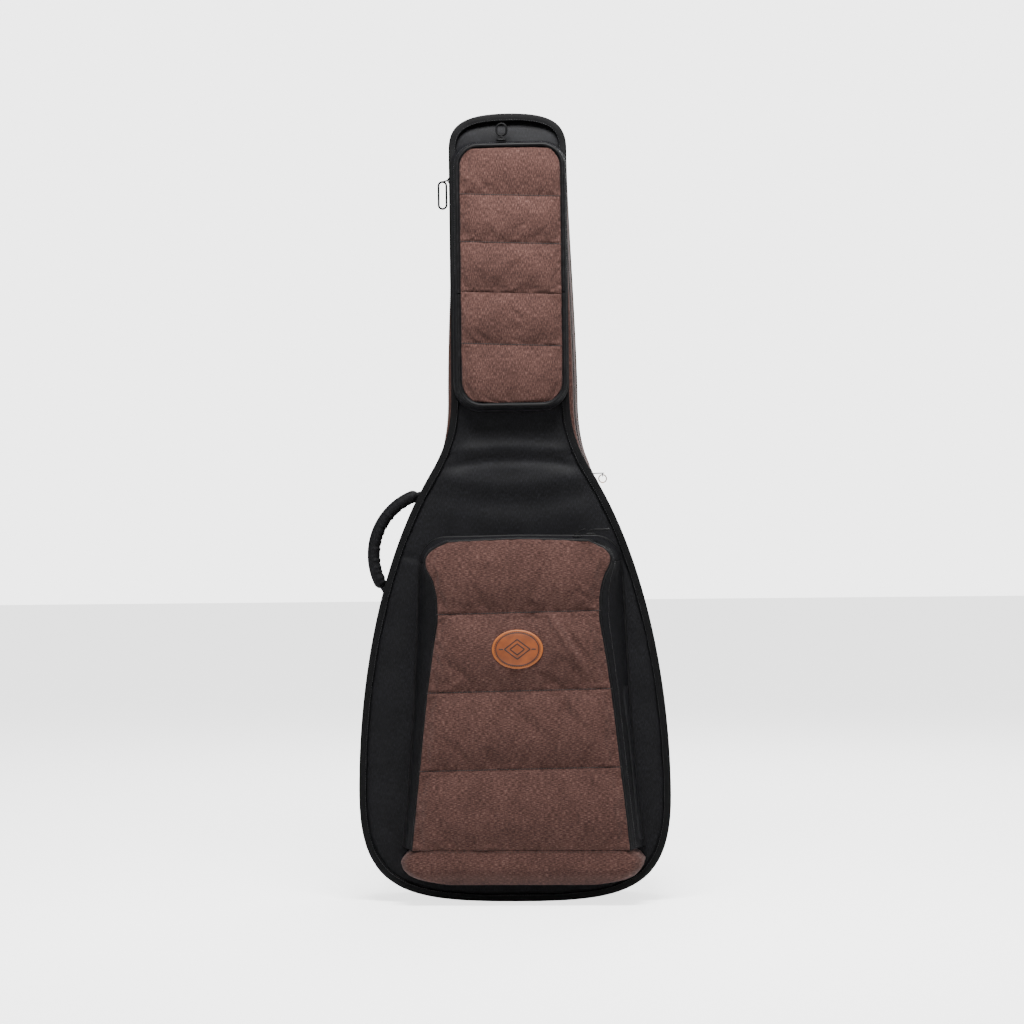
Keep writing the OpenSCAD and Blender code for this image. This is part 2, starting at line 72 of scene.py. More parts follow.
def add_node(tree, kind, links=None, **settings):
    """Adds one node: settings are its properties, links its inputs by name or number."""
    made = tree.nodes.new(kind)
    for key, value in settings.items():
        setattr(made, key, value)
    for key, value in (links or {}).items():
        if isinstance(value, bpy.types.NodeSocket):
            tree.links.new(value, made.inputs[key])
        else:
            made.inputs[key].default_value = value
    return made


def colour(text):
    """An sRGB hex colour as a linear RGBA."""
    parts = [int(text[i:i + 2], 16) / 255 for i in (1, 3, 5)]
    return tuple(p / 12.92 if p <= 0.04045 else ((p + 0.055) / 1.055) ** 2.4 for p in parts) + (1,)


def new_material(name):
    made = bpy.data.materials.new(name)
    made.use_nodes = True
    made.node_tree.nodes.clear()
    return made, made.node_tree


def soft_light(name, place, target, size, watts):
    lamp = bpy.data.objects.new(name, bpy.data.lights.new(name, "AREA"))
    scene.collection.objects.link(lamp)
    lamp.data.shape = "RECTANGLE"
    lamp.data.size, lamp.data.size_y = size
    lamp.data.energy = watts
    lamp.location = place
    lamp.rotation_euler = (Vector(target) - Vector(place)).to_track_quat("-Z", "Y").to_euler()


soft_light("top_softbox", (0.1, -1.0, 2.1), (0, -0.1, 0.85), (1.1, 0.5), 102)
soft_light("left_softbox", (-2.4, -2.2, 1.9), (0, 0, 0.8), (1.2, 1.8), 10)
soft_light("right_softbox", (2.6, -1.6, 1.9), (0, 0, 0.8), (1.2, 1.8), 8)
soft_light("back_softbox", (0.4, 2.2, 2.4), (0, 0, 0.7), (2.0, 1.2), 90)

studio = bpy.data.worlds.new("studio")
scene.world = studio
studio.use_nodes = True
studio.node_tree.nodes.clear()
seen_directly = add_node(studio.node_tree, "ShaderNodeLightPath").outputs["Is Camera Ray"]
level = add_node(studio.node_tree, "ShaderNodeMapRange", {0: seen_directly, 3: 0.45, 4: 4.0})
sky = add_node(studio.node_tree, "ShaderNodeBackground", {"Strength": level.outputs[0]})
sky.inputs["Color"].default_value = (1, 1, 1, 1)
add_node(studio.node_tree, "ShaderNodeOutputWorld", {"Surface": sky.outputs[0]})

floor_paint, tree = new_material("matte_white_floor")
seen_directly = add_node(tree, "ShaderNodeLightPath").outputs["Is Camera Ray"]
glow = add_node(tree, "ShaderNodeMapRange", {0: seen_directly, 3: 0.0, 4: 2.2})
paint = add_node(tree, "ShaderNodeBsdfPrincipled", {"Base Color": (0.9, 0.9, 0.9, 1), "Roughness": 0.9,
                                                    "Emission Color": (1, 1, 1, 1),
                                                    "Emission Strength": glow.outputs[0]})
paint.inputs["Specular IOR Level"].default_value = 0.1
out = add_node(tree, "ShaderNodeOutputMaterial", {"Surface": paint.outputs[0]})
floor_mesh = bpy.data.meshes.new("floor")
floor_half = 14
corners = ((-1, -1), (1, -1), (1, 1), (-1, 1))
floor_mesh.from_pydata([(floor_half * a, floor_half * b, 0) for a, b in corners], [], [(0, 1, 2, 3)])
floor_mesh.materials.append(floor_paint)
floor = bpy.data.objects.new("floor", floor_mesh)
scene.collection.objects.link(floor)

# ---- Front panel --------------------------------------------------------------------------------
# A foam pad covered in black ballistic nylon, cut to the guitar's outline and bound at its edge.
# Soft folds cross it where the shoulders meet the neck.

MM = 0.001


def box_of(node):
    """The low and high corner of a CAD node, in millimetres."""
    return np.array(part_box(node)) / MM


panel_low, panel_high = box_of("front_panel")
front_y = panel_low[1]
bag_half, _, bag_top = box_of("front_binding")[1]
neck_half = 83.0
neck_z = 712.0
NYLON_EDGE = 8.0


def bezier(a, b, c, d, n=24):
    t = np.linspace(0, 1, n, endpoint=False)[:, None]
    a, b, c, d = (np.array(p, float) for p in (a, b, c, d))
    return (1 - t) ** 3 * a + 3 * (1 - t) ** 2 * t * b + 3 * (1 - t) * t * t * c + t ** 3 * d


def half_outline(w, low, n_low, n_high, top):
    """Right half of a case outline in X and Z, from the bottom centre to the top centre."""
    bump = 0.555 * w
    return np.vstack([
        bezier((0, low), (0.68 * w, low), (w, low + 11), (w, 150)),
        bezier((w, 150), (w, 300), (0.864 * w, 470), (bump, 590)),
        bezier((bump, 590), (0.86 * bump, 620), (n_low, neck_z - 62), (n_low, neck_z)),
        bezier((n_low, neck_z), (n_low, neck_z + 90), (n_high, top - 110), (n_high, top - 50)),
        bezier((n_high, top - 50), (n_high, top - 15), (0.75 * n_high, top), (0, top)),
        [(0, top)]])


def even(path, pitch, closed=True):
    """Spaces a path's points evenly."""
    pts = np.vstack([path, path[:1]]) if closed else path
    run = np.concatenate([[0], np.cumsum(np.linalg.norm(np.diff(pts, axis=0), axis=1))])
    n = max(8, int(round(run[-1] / pitch)))
    at = np.linspace(0, run[-1], n + 1)
    if closed:
        at = at[:-1]
    return np.stack([np.interp(at, run, pts[:, k]) for k in range(pts.shape[1])], axis=1)


def mirrored(half):
    return np.vstack([half, (half * [-1, 1])[-2:0:-1]])


def inward(loop, closed=True):
    """Unit normals that point into a counter-clockwise loop in X and Z."""
    if closed:
        along = np.roll(loop, -1, axis=0) - np.roll(loop, 1, axis=0)
    else:
        along = np.gradient(loop, axis=0)
    along /= np.maximum(np.linalg.norm(along, axis=1), 1e-9)[:, None]
    return np.stack([-along[:, 1], along[:, 0]], axis=1)


def edge_distance(points, loop):
    """Distance from each point to a loop's nearest stretch."""
    a, b = loop, np.roll(loop, -1, axis=0)
    ab = b - a
    length = np.maximum((ab * ab).sum(1), 1e-9)
    best = np.full(len(points), 1e9)
    for k in range(len(a)):
        t = np.clip(((points - a[k]) @ ab[k]) / length[k], 0, 1)
        best = np.minimum(best, np.linalg.norm(points - a[k] - t[:, None] * ab[k], axis=1))
    return best


def ripple(x, z, seed, size, count=14):
    """A smooth random field of about unit height, made of waves about size millimetres long."""
    rng = np.random.default_rng(seed)
    total = np.zeros_like(x, dtype=float)
    for _ in range(count):
        turn, phase = rng.uniform(0, 2 * math.pi, 2)
        length = size * rng.uniform(0.6, 1.8)
        total += np.sin(2 * math.pi * (x * math.cos(turn) + z * math.sin(turn)) / length + phase)
    return total / math.sqrt(count / 2)


def finished(name, verts, faces, loop_uv, material, sharp=50):
    """A mesh object at the origin, smooth, normals outwards, its UV map in metres."""
    mesh = bpy.data.meshes.new(name)
    mesh.from_pydata([tuple(v) for v in np.asarray(verts) * MM], [], faces)
    layer = mesh.uv_layers.new(name="UVMap")
    layer.data.foreach_set("uv", (np.asarray(loop_uv, float) * MM).ravel())
    tidy = bmesh.new()
    tidy.from_mesh(mesh)
    bmesh.ops.remove_doubles(tidy, verts=tidy.verts, dist=2e-6)
    bmesh.ops.dissolve_degenerate(tidy, edges=tidy.edges, dist=1e-6)
    bmesh.ops.recalc_face_normals(tidy, faces=tidy.faces)
    tidy.to_mesh(mesh)
    tidy.free()
    mesh.polygons.foreach_set("use_smooth", [True] * len(mesh.polygons))
    mesh.set_sharp_from_angle(angle=math.radians(sharp))
    mesh.materials.append(material)
    made = bpy.data.objects.new(name, mesh)
    scene.collection.objects.link(made)
    return made


def skin(name, P, material, closed=(False, True), uv=None, sharp=50):
    """A surface over a grid of points, closed either way. Open ends of a tube get caps."""
    n, m = P.shape[:2]
    rows = n if closed[0] else n - 1
    cols = m if closed[1] else m - 1
    if uv is None:
        du = np.linalg.norm(np.diff(np.concatenate([P, P[:1]]), axis=0), axis=2).mean(1)
        dv = np.linalg.norm(np.diff(np.concatenate([P, P[:, :1]], axis=1), axis=1), axis=2).mean(0)
        u = np.concatenate([[0], np.cumsum(du)])
        v = np.concatenate([[0], np.cumsum(dv)])
        uv = np.stack(np.meshgrid(v, u), axis=2)
    i, j = (a.ravel() for a in np.meshgrid(np.arange(rows), np.arange(cols), indexing="ij"))
    ii, jj = (i + 1) % n, (j + 1) % m
    faces = np.stack([i * m + j, i * m + jj, ii * m + jj, ii * m + j], 1).tolist()
    loops = np.stack([uv[i, j], uv[i, j + 1], uv[i + 1, j + 1], uv[i + 1, j]], 1).reshape(-1, 2)
    if closed[1] and not closed[0]:
        for end in (0, n - 1):
            faces.append([end * m + k for k in range(m)])
            loops = np.concatenate([loops, uv[end, :m]])
    return finished(name, P.reshape(-1, 3), faces, loops, material, sharp)


def slab(name, F, B, material, uv=None, sharp=50):
    """A closed pad between a front grid and a back grid of points."""
    n, m = F.shape[:2]
    if uv is None:
        uv = F[:, :, [0, 2]]
    verts = np.concatenate([F.reshape(-1, 3), B.reshape(-1, 3)])
    flat = np.ascontiguousarray(uv).reshape(-1, 2)
    i, j = (a.ravel() for a in np.meshgrid(np.arange(n - 1), np.arange(m - 1), indexing="ij"))
    front = np.stack([i * m + j, i * m + j + 1, (i + 1) * m + j + 1, (i + 1) * m + j], 1)
    rim = [(0, j) for j in range(m)] + [(i, m - 1) for i in range(1, n)]
    rim += [(n - 1, j) for j in range(m - 2, -1, -1)] + [(i, 0) for i in range(n - 2, 0, -1)]
    ring = np.array([i * m + j for i, j in rim])
    after = np.roll(ring, -1)
    sides = np.stack([ring, after, after + n * m, ring + n * m], 1)
    faces = np.concatenate([front, front[:, ::-1] + n * m, sides])
    return finished(name, verts, faces.tolist(), flat[faces.ravel() % (n * m)], material, sharp)


def rows_of(half, pitch):
    """Rows across an outline: their heights and half widths, close where it turns."""
    even_half = even(half, pitch, closed=False)
    keep = np.concatenate([[True], np.diff(np.maximum.accumulate(even_half[:, 1])) > 0.15])
    return even_half[keep, 1], even_half[keep, 0]


def spread(columns, crowd=0.45):
    """Places from -1 to 1, closer together towards both ends."""
    t = np.linspace(0, 1, columns)
    return (1 - crowd) * (2 * t - 1) - crowd * np.cos(math.pi * t)


def woven(name, base, light, dark, pitch, streak, rough, sheen=0.0, depth=0.25, contrast=0.5, specular=0.2):
    """Woven cloth. UVs are in metres: threads every pitch mm, colour streaks streak mm long."""
    material, tree = new_material(name)
    uv = add_node(tree, "ShaderNodeUVMap", uv_map="UVMap").outputs[0]
    mm = add_node(tree, "ShaderNodeVectorMath", {0: uv, 1: (1000, 1000, 1000)}, operation="MULTIPLY")
    axes = add_node(tree, "ShaderNodeSeparateXYZ", {0: mm.outputs[0]})
    waves = []
    for axis in ("X", "Y"):
        turn = add_node(tree, "ShaderNodeMath", {0: axes.outputs[axis], 1: 2 * math.pi / pitch},
                        operation="MULTIPLY")
        waves.append(add_node(tree, "ShaderNodeMath", {0: turn.outputs[0]}, operation="SINE"))
    threads = add_node(tree, "ShaderNodeMath", {0: waves[0].outputs[0], 1: waves[1].outputs[0]},
                       operation="MULTIPLY")
    streaks = []
    for scale in ((1 / 0.9, 1 / streak, 1), (1 / streak, 1 / 0.9, 1)):
        long_way = add_node(tree, "ShaderNodeVectorMath", {0: mm.outputs[0], 1: scale},
                            operation="MULTIPLY")
        streaks.append(add_node(tree, "ShaderNodeTexNoise",
                                {"Vector": long_way.outputs[0], "Scale": 1.0, "Detail": 2.0}))
    slub = add_node(tree, "ShaderNodeMix", data_type="FLOAT",
                    links={"Factor": 0.25, 2: streaks[0].outputs[0], 3: streaks[1].outputs[0]})
    wear = add_node(tree, "ShaderNodeTexNoise", {"Vector": mm.outputs[0], "Scale": 0.022, "Detail": 3.0})
    tone = add_node(tree, "ShaderNodeMath", {0: wear.outputs[0], 1: 0.16, 2: slub.outputs[0]},
                    operation="MULTIPLY_ADD")
    mottle = add_node(tree, "ShaderNodeMath", {0: threads.outputs[0], 1: 0.05, 2: tone.outputs[0]},
                     operation="MULTIPLY_ADD")
    ramp = add_node(tree, "ShaderNodeValToRGB", {0: mottle.outputs[0]})
    half = contrast / 2
    ramp.color_ramp.elements[0].position = 0.58 - half * 0.6
    ramp.color_ramp.elements[0].color = colour(dark)
    ramp.color_ramp.elements[1].position = 0.58 + half * 0.6
    ramp.color_ramp.elements[1].color = colour(light)
    middle = ramp.color_ramp.elements.new(0.58)
    middle.color = colour(base)
    height = add_node(tree, "ShaderNodeMath", {0: threads.outputs[0], 1: 0.35, 2: slub.outputs[0]},
                      operation="MULTIPLY_ADD")
    bump = add_node(tree, "ShaderNodeBump", {"Strength": 0.6, "Distance": depth * MM,
                                             "Height": height.outputs[0]})
    cloth = add_node(tree, "ShaderNodeBsdfPrincipled",
                     {"Base Color": ramp.outputs[0], "Normal": bump.outputs[0], "Roughness": rough})
    cloth.inputs["Specular IOR Level"].default_value = specular
    cloth.inputs["Sheen Weight"].default_value = sheen
    cloth.inputs["Sheen Roughness"].default_value = 0.5
    add_node(tree, "ShaderNodeOutputMaterial", {"Surface": cloth.outputs[0]})
    return material


black_nylon = woven("black_ballistic_nylon", "#08080a", "#17171b", "#020203", 2.8, 5.0, 0.62,
                    specular=0.13, depth=0.45, contrast=0.6)

front_half = half_outline(bag_half, 1, neck_half, neck_half, bag_top)
FRONT = even(mirrored(front_half), 4.0)


def panel_face(x, z):
    """The front panel's surface: crowned, with folds at the shoulders."""
    d = edge_distance(np.stack([x.ravel(), z.ravel()], 1), FRONT).reshape(x.shape)
    crown = 4.5 * (1 - np.exp(-np.maximum(d - NYLON_EDGE, 0) / 16))
    sag = 0.00016 * x * x
    folds = 3.2 * np.exp(-((z - 640 + sag * 6) / 9) ** 2) - 3.4 * np.exp(-((z - 622 + sag * 6) / 8) ** 2)
    folds += 2.6 * np.exp(-((z - 588 - sag * 9) / 13) ** 2) - 1.9 * np.exp(-((z - 560 - sag * 8) / 15) ** 2)
    reach_in = np.clip((d - 6) / 26, 0, 1)
    at_edge = np.exp(-((z - 629) / 5) ** 2) * np.exp(-(d / 24) ** 2) * -2.6
    crease = -2.2 * np.exp(-((z - 487 + 0.25 * (x + 145)) / 4) ** 2) * np.exp(-((x + 145) / 18) ** 2)
    drape = 0.8 * ripple(x, z, 3, 120) + 0.25 * ripple(x, z, 4, 38)
    lean_back = -7.0 * np.clip((z - 1045) / 60, 0, 1) ** 2
    out_by = crown + (folds + drape) * reach_in + at_edge + crease + lean_back
    return front_y + 2.5 - out_by


heights, halves = rows_of(front_half, 4.0)
halves = np.maximum(halves - 3.0, 0.0)
across = spread(120)
x = halves[:, None] * across[None, :]
z = np.repeat(np.clip(heights, 4.0, bag_top - 3.0)[:, None], len(across), 1)
front_face = np.stack([x, panel_face(x, z), z], 2)
front_back = np.stack([x, np.full_like(x, panel_high[1]), z], 2)
front_panel = slab("front_panel_nylon", front_face, front_back, black_nylon)
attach(front_panel, "lid")
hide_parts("front_panel")

# ---- Binding ------------------------------------------------------------------------------------
# Nylon tape folded over the raw edges of the front panel and the gusset, and lock-stitched all
# round. It stands out from the case as a flat flange.

BINDING_W = 10.8
BINDING_FRONT = front_y - 2.3
BINDING_BACK = front_y + 9.0


def banded(name, base, edge, rib, rough):
    """Ribbed nylon tape: fine ribs across its length, which is U. UVs are in metres."""
    material, tree = new_material(name)
    uv = add_node(tree, "ShaderNodeUVMap", uv_map="UVMap").outputs[0]
    mm = add_node(tree, "ShaderNodeVectorMath", {0: uv, 1: (1000, 1000, 1000)}, operation="MULTIPLY")
    axes = add_node(tree, "ShaderNodeSeparateXYZ", {0: mm.outputs[0]})
    turn = add_node(tree, "ShaderNodeMath", {0: axes.outputs["Y"], 1: 2 * math.pi / rib},
                    operation="MULTIPLY")
    ribs = add_node(tree, "ShaderNodeMath", {0: turn.outputs[0]}, operation="SINE")
    fuzz = add_node(tree, "ShaderNodeTexNoise", {"Vector": mm.outputs[0], "Scale": 0.35, "Detail": 4.0})
    tone = add_node(tree, "ShaderNodeMath", {0: ribs.outputs[0], 1: 0.12, 2: fuzz.outputs[0]},
                    operation="MULTIPLY_ADD")
    ramp = add_node(tree, "ShaderNodeValToRGB", {0: tone.outputs[0]})
    ramp.color_ramp.elements[0].position = 0.3
    ramp.color_ramp.elements[0].color = colour(edge)
    ramp.color_ramp.elements[1].position = 0.75
    ramp.color_ramp.elements[1].color = colour(base)
    bump = add_node(tree, "ShaderNodeBump", {"Strength": 0.5, "Distance": 0.3 * MM,
                                             "Height": tone.outputs[0]})
    tape = add_node(tree, "ShaderNodeBsdfPrincipled",
                    {"Base Color": ramp.outputs[0], "Normal": bump.outputs[0], "Roughness": rough})
    tape.inputs["Specular IOR Level"].default_value = 0.12
    add_node(tree, "ShaderNodeOutputMaterial", {"Surface": tape.outputs[0]})
    return material


binding_nylon = banded("black_nylon_binding_tape", "#050506", "#020203", 1.9, 0.6)


def sweep(name, path, normals, profile, material, closed=True, y0=0.0, sharp=50):
    """Sweeps a profile of (inwards, depth) pairs along a path in X and Z."""
    profile = np.asarray(profile, float)
    if profile.ndim == 2:
        profile = np.repeat(profile[None], len(path), 0)
    P = np.empty((len(path), profile.shape[1], 3))
    P[:, :, 0] = path[:, None, 0] + normals[:, None, 0] * profile[:, :, 0]
    P[:, :, 2] = path[:, None, 1] + normals[:, None, 1] * profile[:, :, 0]
    P[:, :, 1] = y0 + profile[:, :, 1]
    return skin(name, P, material, (closed, True), sharp=sharp)


def rounded_band(width, depth, corner=1.2, outset=0.0, steps=4):
    """A rounded rectangle as (inwards, depth) pairs, from outset to outset + width."""
    out = []
    near, far, deep = outset + corner, outset + width - corner, depth - corner
    for cx, cy, start in ((near, corner, 180), (far, corner, 270), (far, deep, 0), (near, deep, 90)):
        for k in range(steps + 1):
            a = math.radians(start + 90 * k / steps)
            out.append((cx + corner * math.cos(a), cy + corner * math.sin(a)))
    return np.array(out)


binding_path = even(mirrored(front_half), 3.5)
band = rounded_band(BINDING_W, BINDING_BACK - BINDING_FRONT, 1.8)
along = np.arange(len(binding_path))
wobble = 0.35 * np.sin(along * 0.31) + 0.3 * np.sin(along * 0.113 + 1) + 0.2 * np.sin(along * 0.71 + 2)
profiles = np.repeat(band[None], len(binding_path), 0)
inner = profiles[:, :, 0] > BINDING_W / 2
profiles[:, :, 0] += inner * wobble[:, None]
profiles[:, :, 1] += (profiles[:, :, 1] < 3) * (0.25 * np.sin(along * 0.53)[:, None])
front_binding = sweep("front_binding_tape", binding_path, inward(binding_path), profiles, binding_nylon,
                      y0=BINDING_FRONT)
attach(front_binding, "lid")
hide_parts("front_binding")

# ---- Stitching ----------------------------------------------------------------------------------
# Every seam is a row of short bonded-nylon stitches, laid along its path a few millimetres apart.


def stitch_tree():
    """Geometry Nodes: capsules along a line, with a pitch, length and thickness."""
    tree = bpy.data.node_groups.new("stitch_row", "GeometryNodeTree")
    face = tree.interface
    face.new_socket("Geometry", in_out="INPUT", socket_type="NodeSocketGeometry")
    for label, value in (("Pitch", 0.0035), ("Length", 0.0026), ("Width", 0.0008)):
        face.new_socket(label, in_out="INPUT", socket_type="NodeSocketFloat").default_value = value
    face.new_socket("Thread", in_out="INPUT", socket_type="NodeSocketMaterial")
    face.new_socket("Geometry", in_out="OUTPUT", socket_type="NodeSocketGeometry")
    given = add_node(tree, "NodeGroupInput").outputs
    line = add_node(tree, "GeometryNodeMeshToCurve", {0: given["Geometry"]})
    dots = add_node(tree, "GeometryNodeCurveToPoints", {"Curve": line.outputs[0], "Length": given["Pitch"]},
                    mode="LENGTH")
    bead = add_node(tree, "GeometryNodeMeshUVSphere", {"Segments": 6, "Rings": 4, "Radius": 0.5})
    size = add_node(tree, "ShaderNodeCombineXYZ",
                    {"X": given["Width"], "Y": given["Width"], "Z": given["Length"]})
    cast = add_node(tree, "GeometryNodeInstanceOnPoints",
                    {"Points": dots.outputs["Points"], "Instance": bead.outputs["Mesh"],
                     "Rotation": dots.outputs["Rotation"], "Scale": size.outputs[0]})
    real = add_node(tree, "GeometryNodeRealizeInstances", {0: cast.outputs[0]})
    dyed = add_node(tree, "GeometryNodeSetMaterial", {0: real.outputs[0], "Material": given["Thread"]})
    add_node(tree, "NodeGroupOutput", {0: dyed.outputs[0]})
    return tree


STITCH = stitch_tree()
STITCH_SOCKETS = {item.name: item.identifier for item in STITCH.interface.items_tree
                  if item.in_out == "INPUT"}


def stitches(name, paths, material, body, pitch=3.5, length=2.5, width=0.8, closed=False):
    """Rows of beads along lists of points, as one plain mesh riding on a body."""
    verts, edges = [], []
    for path in paths:
        first = len(verts)
        verts += [tuple(np.asarray(p, float) * MM) for p in path]
        edges += [(first + k, first + k + 1) for k in range(len(path) - 1)]
        if closed:
            edges.append((len(verts) - 1, first))
    guide_mesh = bpy.data.meshes.new(name + "_line")
    guide_mesh.from_pydata(verts, edges, [])
    guide = bpy.data.objects.new(name + "_line", guide_mesh)
    scene.collection.objects.link(guide)
    maker = guide.modifiers.new("row", "NODES")
    maker.node_group = STITCH
    for key, value in (("Pitch", pitch * MM), ("Length", length * MM), ("Width", width * MM),
                       ("Thread", material)):
        maker[STITCH_SOCKETS[key]] = value
    bpy.context.view_layer.update()
    mesh = bpy.data.meshes.new_from_object(guide.evaluated_get(bpy.context.evaluated_depsgraph_get()))
    bpy.data.objects.remove(guide)
    mesh.polygons.foreach_set("use_smooth", [True] * len(mesh.polygons))
    if not mesh.materials:
        mesh.materials.append(material)
    made = bpy.data.objects.new(name, mesh)
    scene.collection.objects.link(made)
    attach(made, body)
    return made


def plain(name, base, rough, specular=0.4, metallic=0.0, grain=0.6, depth=0.05, vary=0.25, coat=0.0):
    """A moulded, cast or spun finish: faint mottling and a fine grain, grain mm across."""
    material, tree = new_material(name)
    place = add_node(tree, "ShaderNodeTexCoord").outputs["Object"]
    mottle = add_node(tree, "ShaderNodeTexNoise", {"Vector": place, "Scale": 90.0, "Detail": 4.0})
    low = tuple(c * (1 - vary) for c in colour(base)[:3]) + (1,)
    high = tuple(min(1, c * (1 + vary) + 0.002) for c in colour(base)[:3]) + (1,)
    tint = add_node(tree, "ShaderNodeValToRGB", {0: mottle.outputs[0]})
    tint.color_ramp.elements[0].position = 0.35
    tint.color_ramp.elements[0].color = low
    tint.color_ramp.elements[1].position = 0.65
    tint.color_ramp.elements[1].color = high
    fine = add_node(tree, "ShaderNodeTexNoise", {"Vector": place, "Scale": 1000 / grain, "Detail": 2.0})
    worn = add_node(tree, "ShaderNodeMapRange", {0: mottle.outputs[0], 1: 0.3, 2: 0.7,
                                                 3: max(0.05, rough - 0.08), 4: rough + 0.08})
    bump = add_node(tree, "ShaderNodeBump", {"Strength": 0.5, "Distance": depth * MM,
                                             "Height": fine.outputs[0]})
    body = add_node(tree, "ShaderNodeBsdfPrincipled", {"Base Color": tint.outputs[0],
                                                       "Normal": bump.outputs[0],
                                                       "Roughness": worn.outputs[0]})
    body.inputs["Metallic"].default_value = metallic
    body.inputs["Specular IOR Level"].default_value = specular
    body.inputs["Coat Weight"].default_value = coat
    add_node(tree, "ShaderNodeOutputMaterial", {"Surface": body.outputs[0]})
    return material


thread_black = plain("black_bonded_thread", "#131316", 0.55, grain=0.3)
# Partly painted shade: the brown thread is made near black, and in the quilting seams it is laid wide, so
# it stands for the shade in the seam grooves as well as for the thread.
thread_and_seam_shade = plain("brown_bonded_thread_and_seam_shade", "#140a08", 0.7, grain=0.3)


def at_depth(path, y):
    return np.stack([path[:, 0], np.full(len(path), y), path[:, 1]], 1)


seam_path = even(mirrored(front_half), 3.5)
seam_path = seam_path + inward(seam_path) * (BINDING_W - 1.6)
binding_stitches = stitches("binding_stitches", [at_depth(seam_path, BINDING_FRONT - 0.15)], thread_black,
                            "lid", closed=True)

# ---- Gussets ------------------------------------------------------------------------------------
# The sides of the case: padded strips of brown heather polyester, pieced at the base, shoulders and
# headstock. A narrow strip opens with the lid; the main zip lies between it and the case.

heather = woven("brown_heather_polyester", "#3a241f", "#60453f", "#1c0e0c", 1.9, 5.0, 0.88,
                sheen=0.05, depth=0.3, contrast=0.75)
zip_y = box_of("lid_zip_track")[1][1]
case_front, case_back = box_of("base_gusset")[:, 1]
gusset_half_w = box_of("back_panel")[1][0]
gusset_low, gusset_top = box_of("back_panel")[:, 2]
gusset_half = half_outline(gusset_half_w, gusset_low, neck_half + 5, neck_half - 7, gusset_top)
GUSSET = mirrored(gusset_half)
GUSSET_T = 12.0
base_seam, side_seam, head_seam = (box_of(node)[1][2] for node in
                                   ("base_gusset", "left_side_gusset", "left_neck_gusset"))


def stretch_of(loop, pitch, z0, z1, side=0):
    """The stretch of a loop between two heights, on one side or (0) across the middle."""
    fine = even(loop, 0.4)
    keep = (fine[:, 1] > z0) & (fine[:, 1] < z1)
    if side:
        keep &= fine[:, 0] * side > 0
    index = np.flatnonzero(keep)
    gap = np.flatnonzero(np.diff(index) > 1)
    if len(gap):
        index = np.concatenate([index[gap[0] + 1:], index[:gap[0] + 1]])
    return even(fine[index], pitch, closed=False)


def gusset_profile(y0, y1, thick, bulge, steps=12):
    """Outer face bowed outwards between its seams, inner face flat."""
    t = np.linspace(0, 1, steps)
    depth = y0 + (y1 - y0) * t
    outer = 0.9 - (bulge + 0.9) * np.sin(math.pi * t) ** 0.6
    face = np.stack([outer, depth], 1)
    inside = np.array([(thick, y1), (thick, (y0 + y1) / 2), (thick, y0)])
    return np.vstack([face, inside])


def hash_seed(name):
    """A seed that depends only on a piece's name."""
    return sum((k + 1) * ord(c) for k, c in enumerate(name)) % 9973


def gusset_piece(name, node, body, y0, y1, bulge, z0, z1, side=0):
    path = stretch_of(GUSSET, 4.0, z0, z1, side)
    profile = gusset_profile(y0, y1, GUSSET_T - 0.5, bulge)
    profiles = np.repeat(profile[None], len(path), 0)
    n, m = profiles.shape[:2]
    run = np.arange(n)[:, None] * 4.0
    swell = np.sin(math.pi * np.clip((profiles[:, :, 1] - y0) / (y1 - y0), 0, 1))
    ends = np.clip(np.minimum(run, run[::-1]) / 12, 0, 1) ** 0.5
    rumple = 0.9 * ripple(run + 0 * profiles[:, :, 1], profiles[:, :, 1], hash_seed(name), 70)
    outside = profiles[:, :, 0] < GUSSET_T / 2
    profiles[:, :, 0] += outside * ((1 - ends) * 1.2 + 0.7 * rumple * swell * ends * min(1, (y1 - y0) / 60))
    made = sweep(name, path, inward(path, closed=False), profiles, heather, closed=False, sharp=70)
    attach(made, body)
    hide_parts(node)


pieces = (("base_gusset", -10, base_seam, 0), ("left_side_gusset", base_seam, side_seam, -1),
          ("right_side_gusset", base_seam, side_seam, 1), ("left_neck_gusset", side_seam, head_seam, -1),
          ("right_neck_gusset", side_seam, head_seam, 1), ("headstock_gusset", head_seam, 2000, 0))
for node, z0, z1, side in pieces:
    gusset_piece(node + "_cloth", node, "case", case_front, case_back, 1.7, z0, z1, side)
lid_front = BINDING_BACK - 0.5
lid_pieces = (("lid_base_gusset", -10, base_seam, 0), ("lid_left_gusset", base_seam, head_seam, -1),
              ("lid_right_gusset", base_seam, head_seam, 1), ("lid_headstock_gusset", head_seam, 2000, 0))
for node, z0, z1, side in lid_pieces:
    gusset_piece(node + "_cloth", node, "lid", lid_front, zip_y, 0.8, z0, z1, side)

# ---- Main zip -----------------------------------------------------------------------------------
# A coil zip runs round the gusset between the lid and the case: a ribbed tape sewn to each side and
# a row of nylon coils on each tape's edge. It stops short of the hinge on the lower left.

tape_nylon = banded("black_zip_tape", "#0d0d0f", "#050506", 1.6, 0.6)
coil_nylon = plain("black_nylon_coil", "#0f0f12", 0.35, grain=0.5)
hinge_low, hinge_high = box_of("hinge_strip")[:, 2]


def around_zip(loop, pitch):
    """The stretch of a loop that the main zip covers, from below the hinge round to above it."""
    fine = even(loop, pitch)
    at_hinge = (fine[:, 0] < 0) & (fine[:, 1] > hinge_low) & (fine[:, 1] < hinge_high)
    last = np.flatnonzero(at_hinge)[-1]
    fine = np.roll(fine, -last - 1, axis=0)
    return fine[:np.flatnonzero(np.roll(at_hinge, -last - 1))[0]]


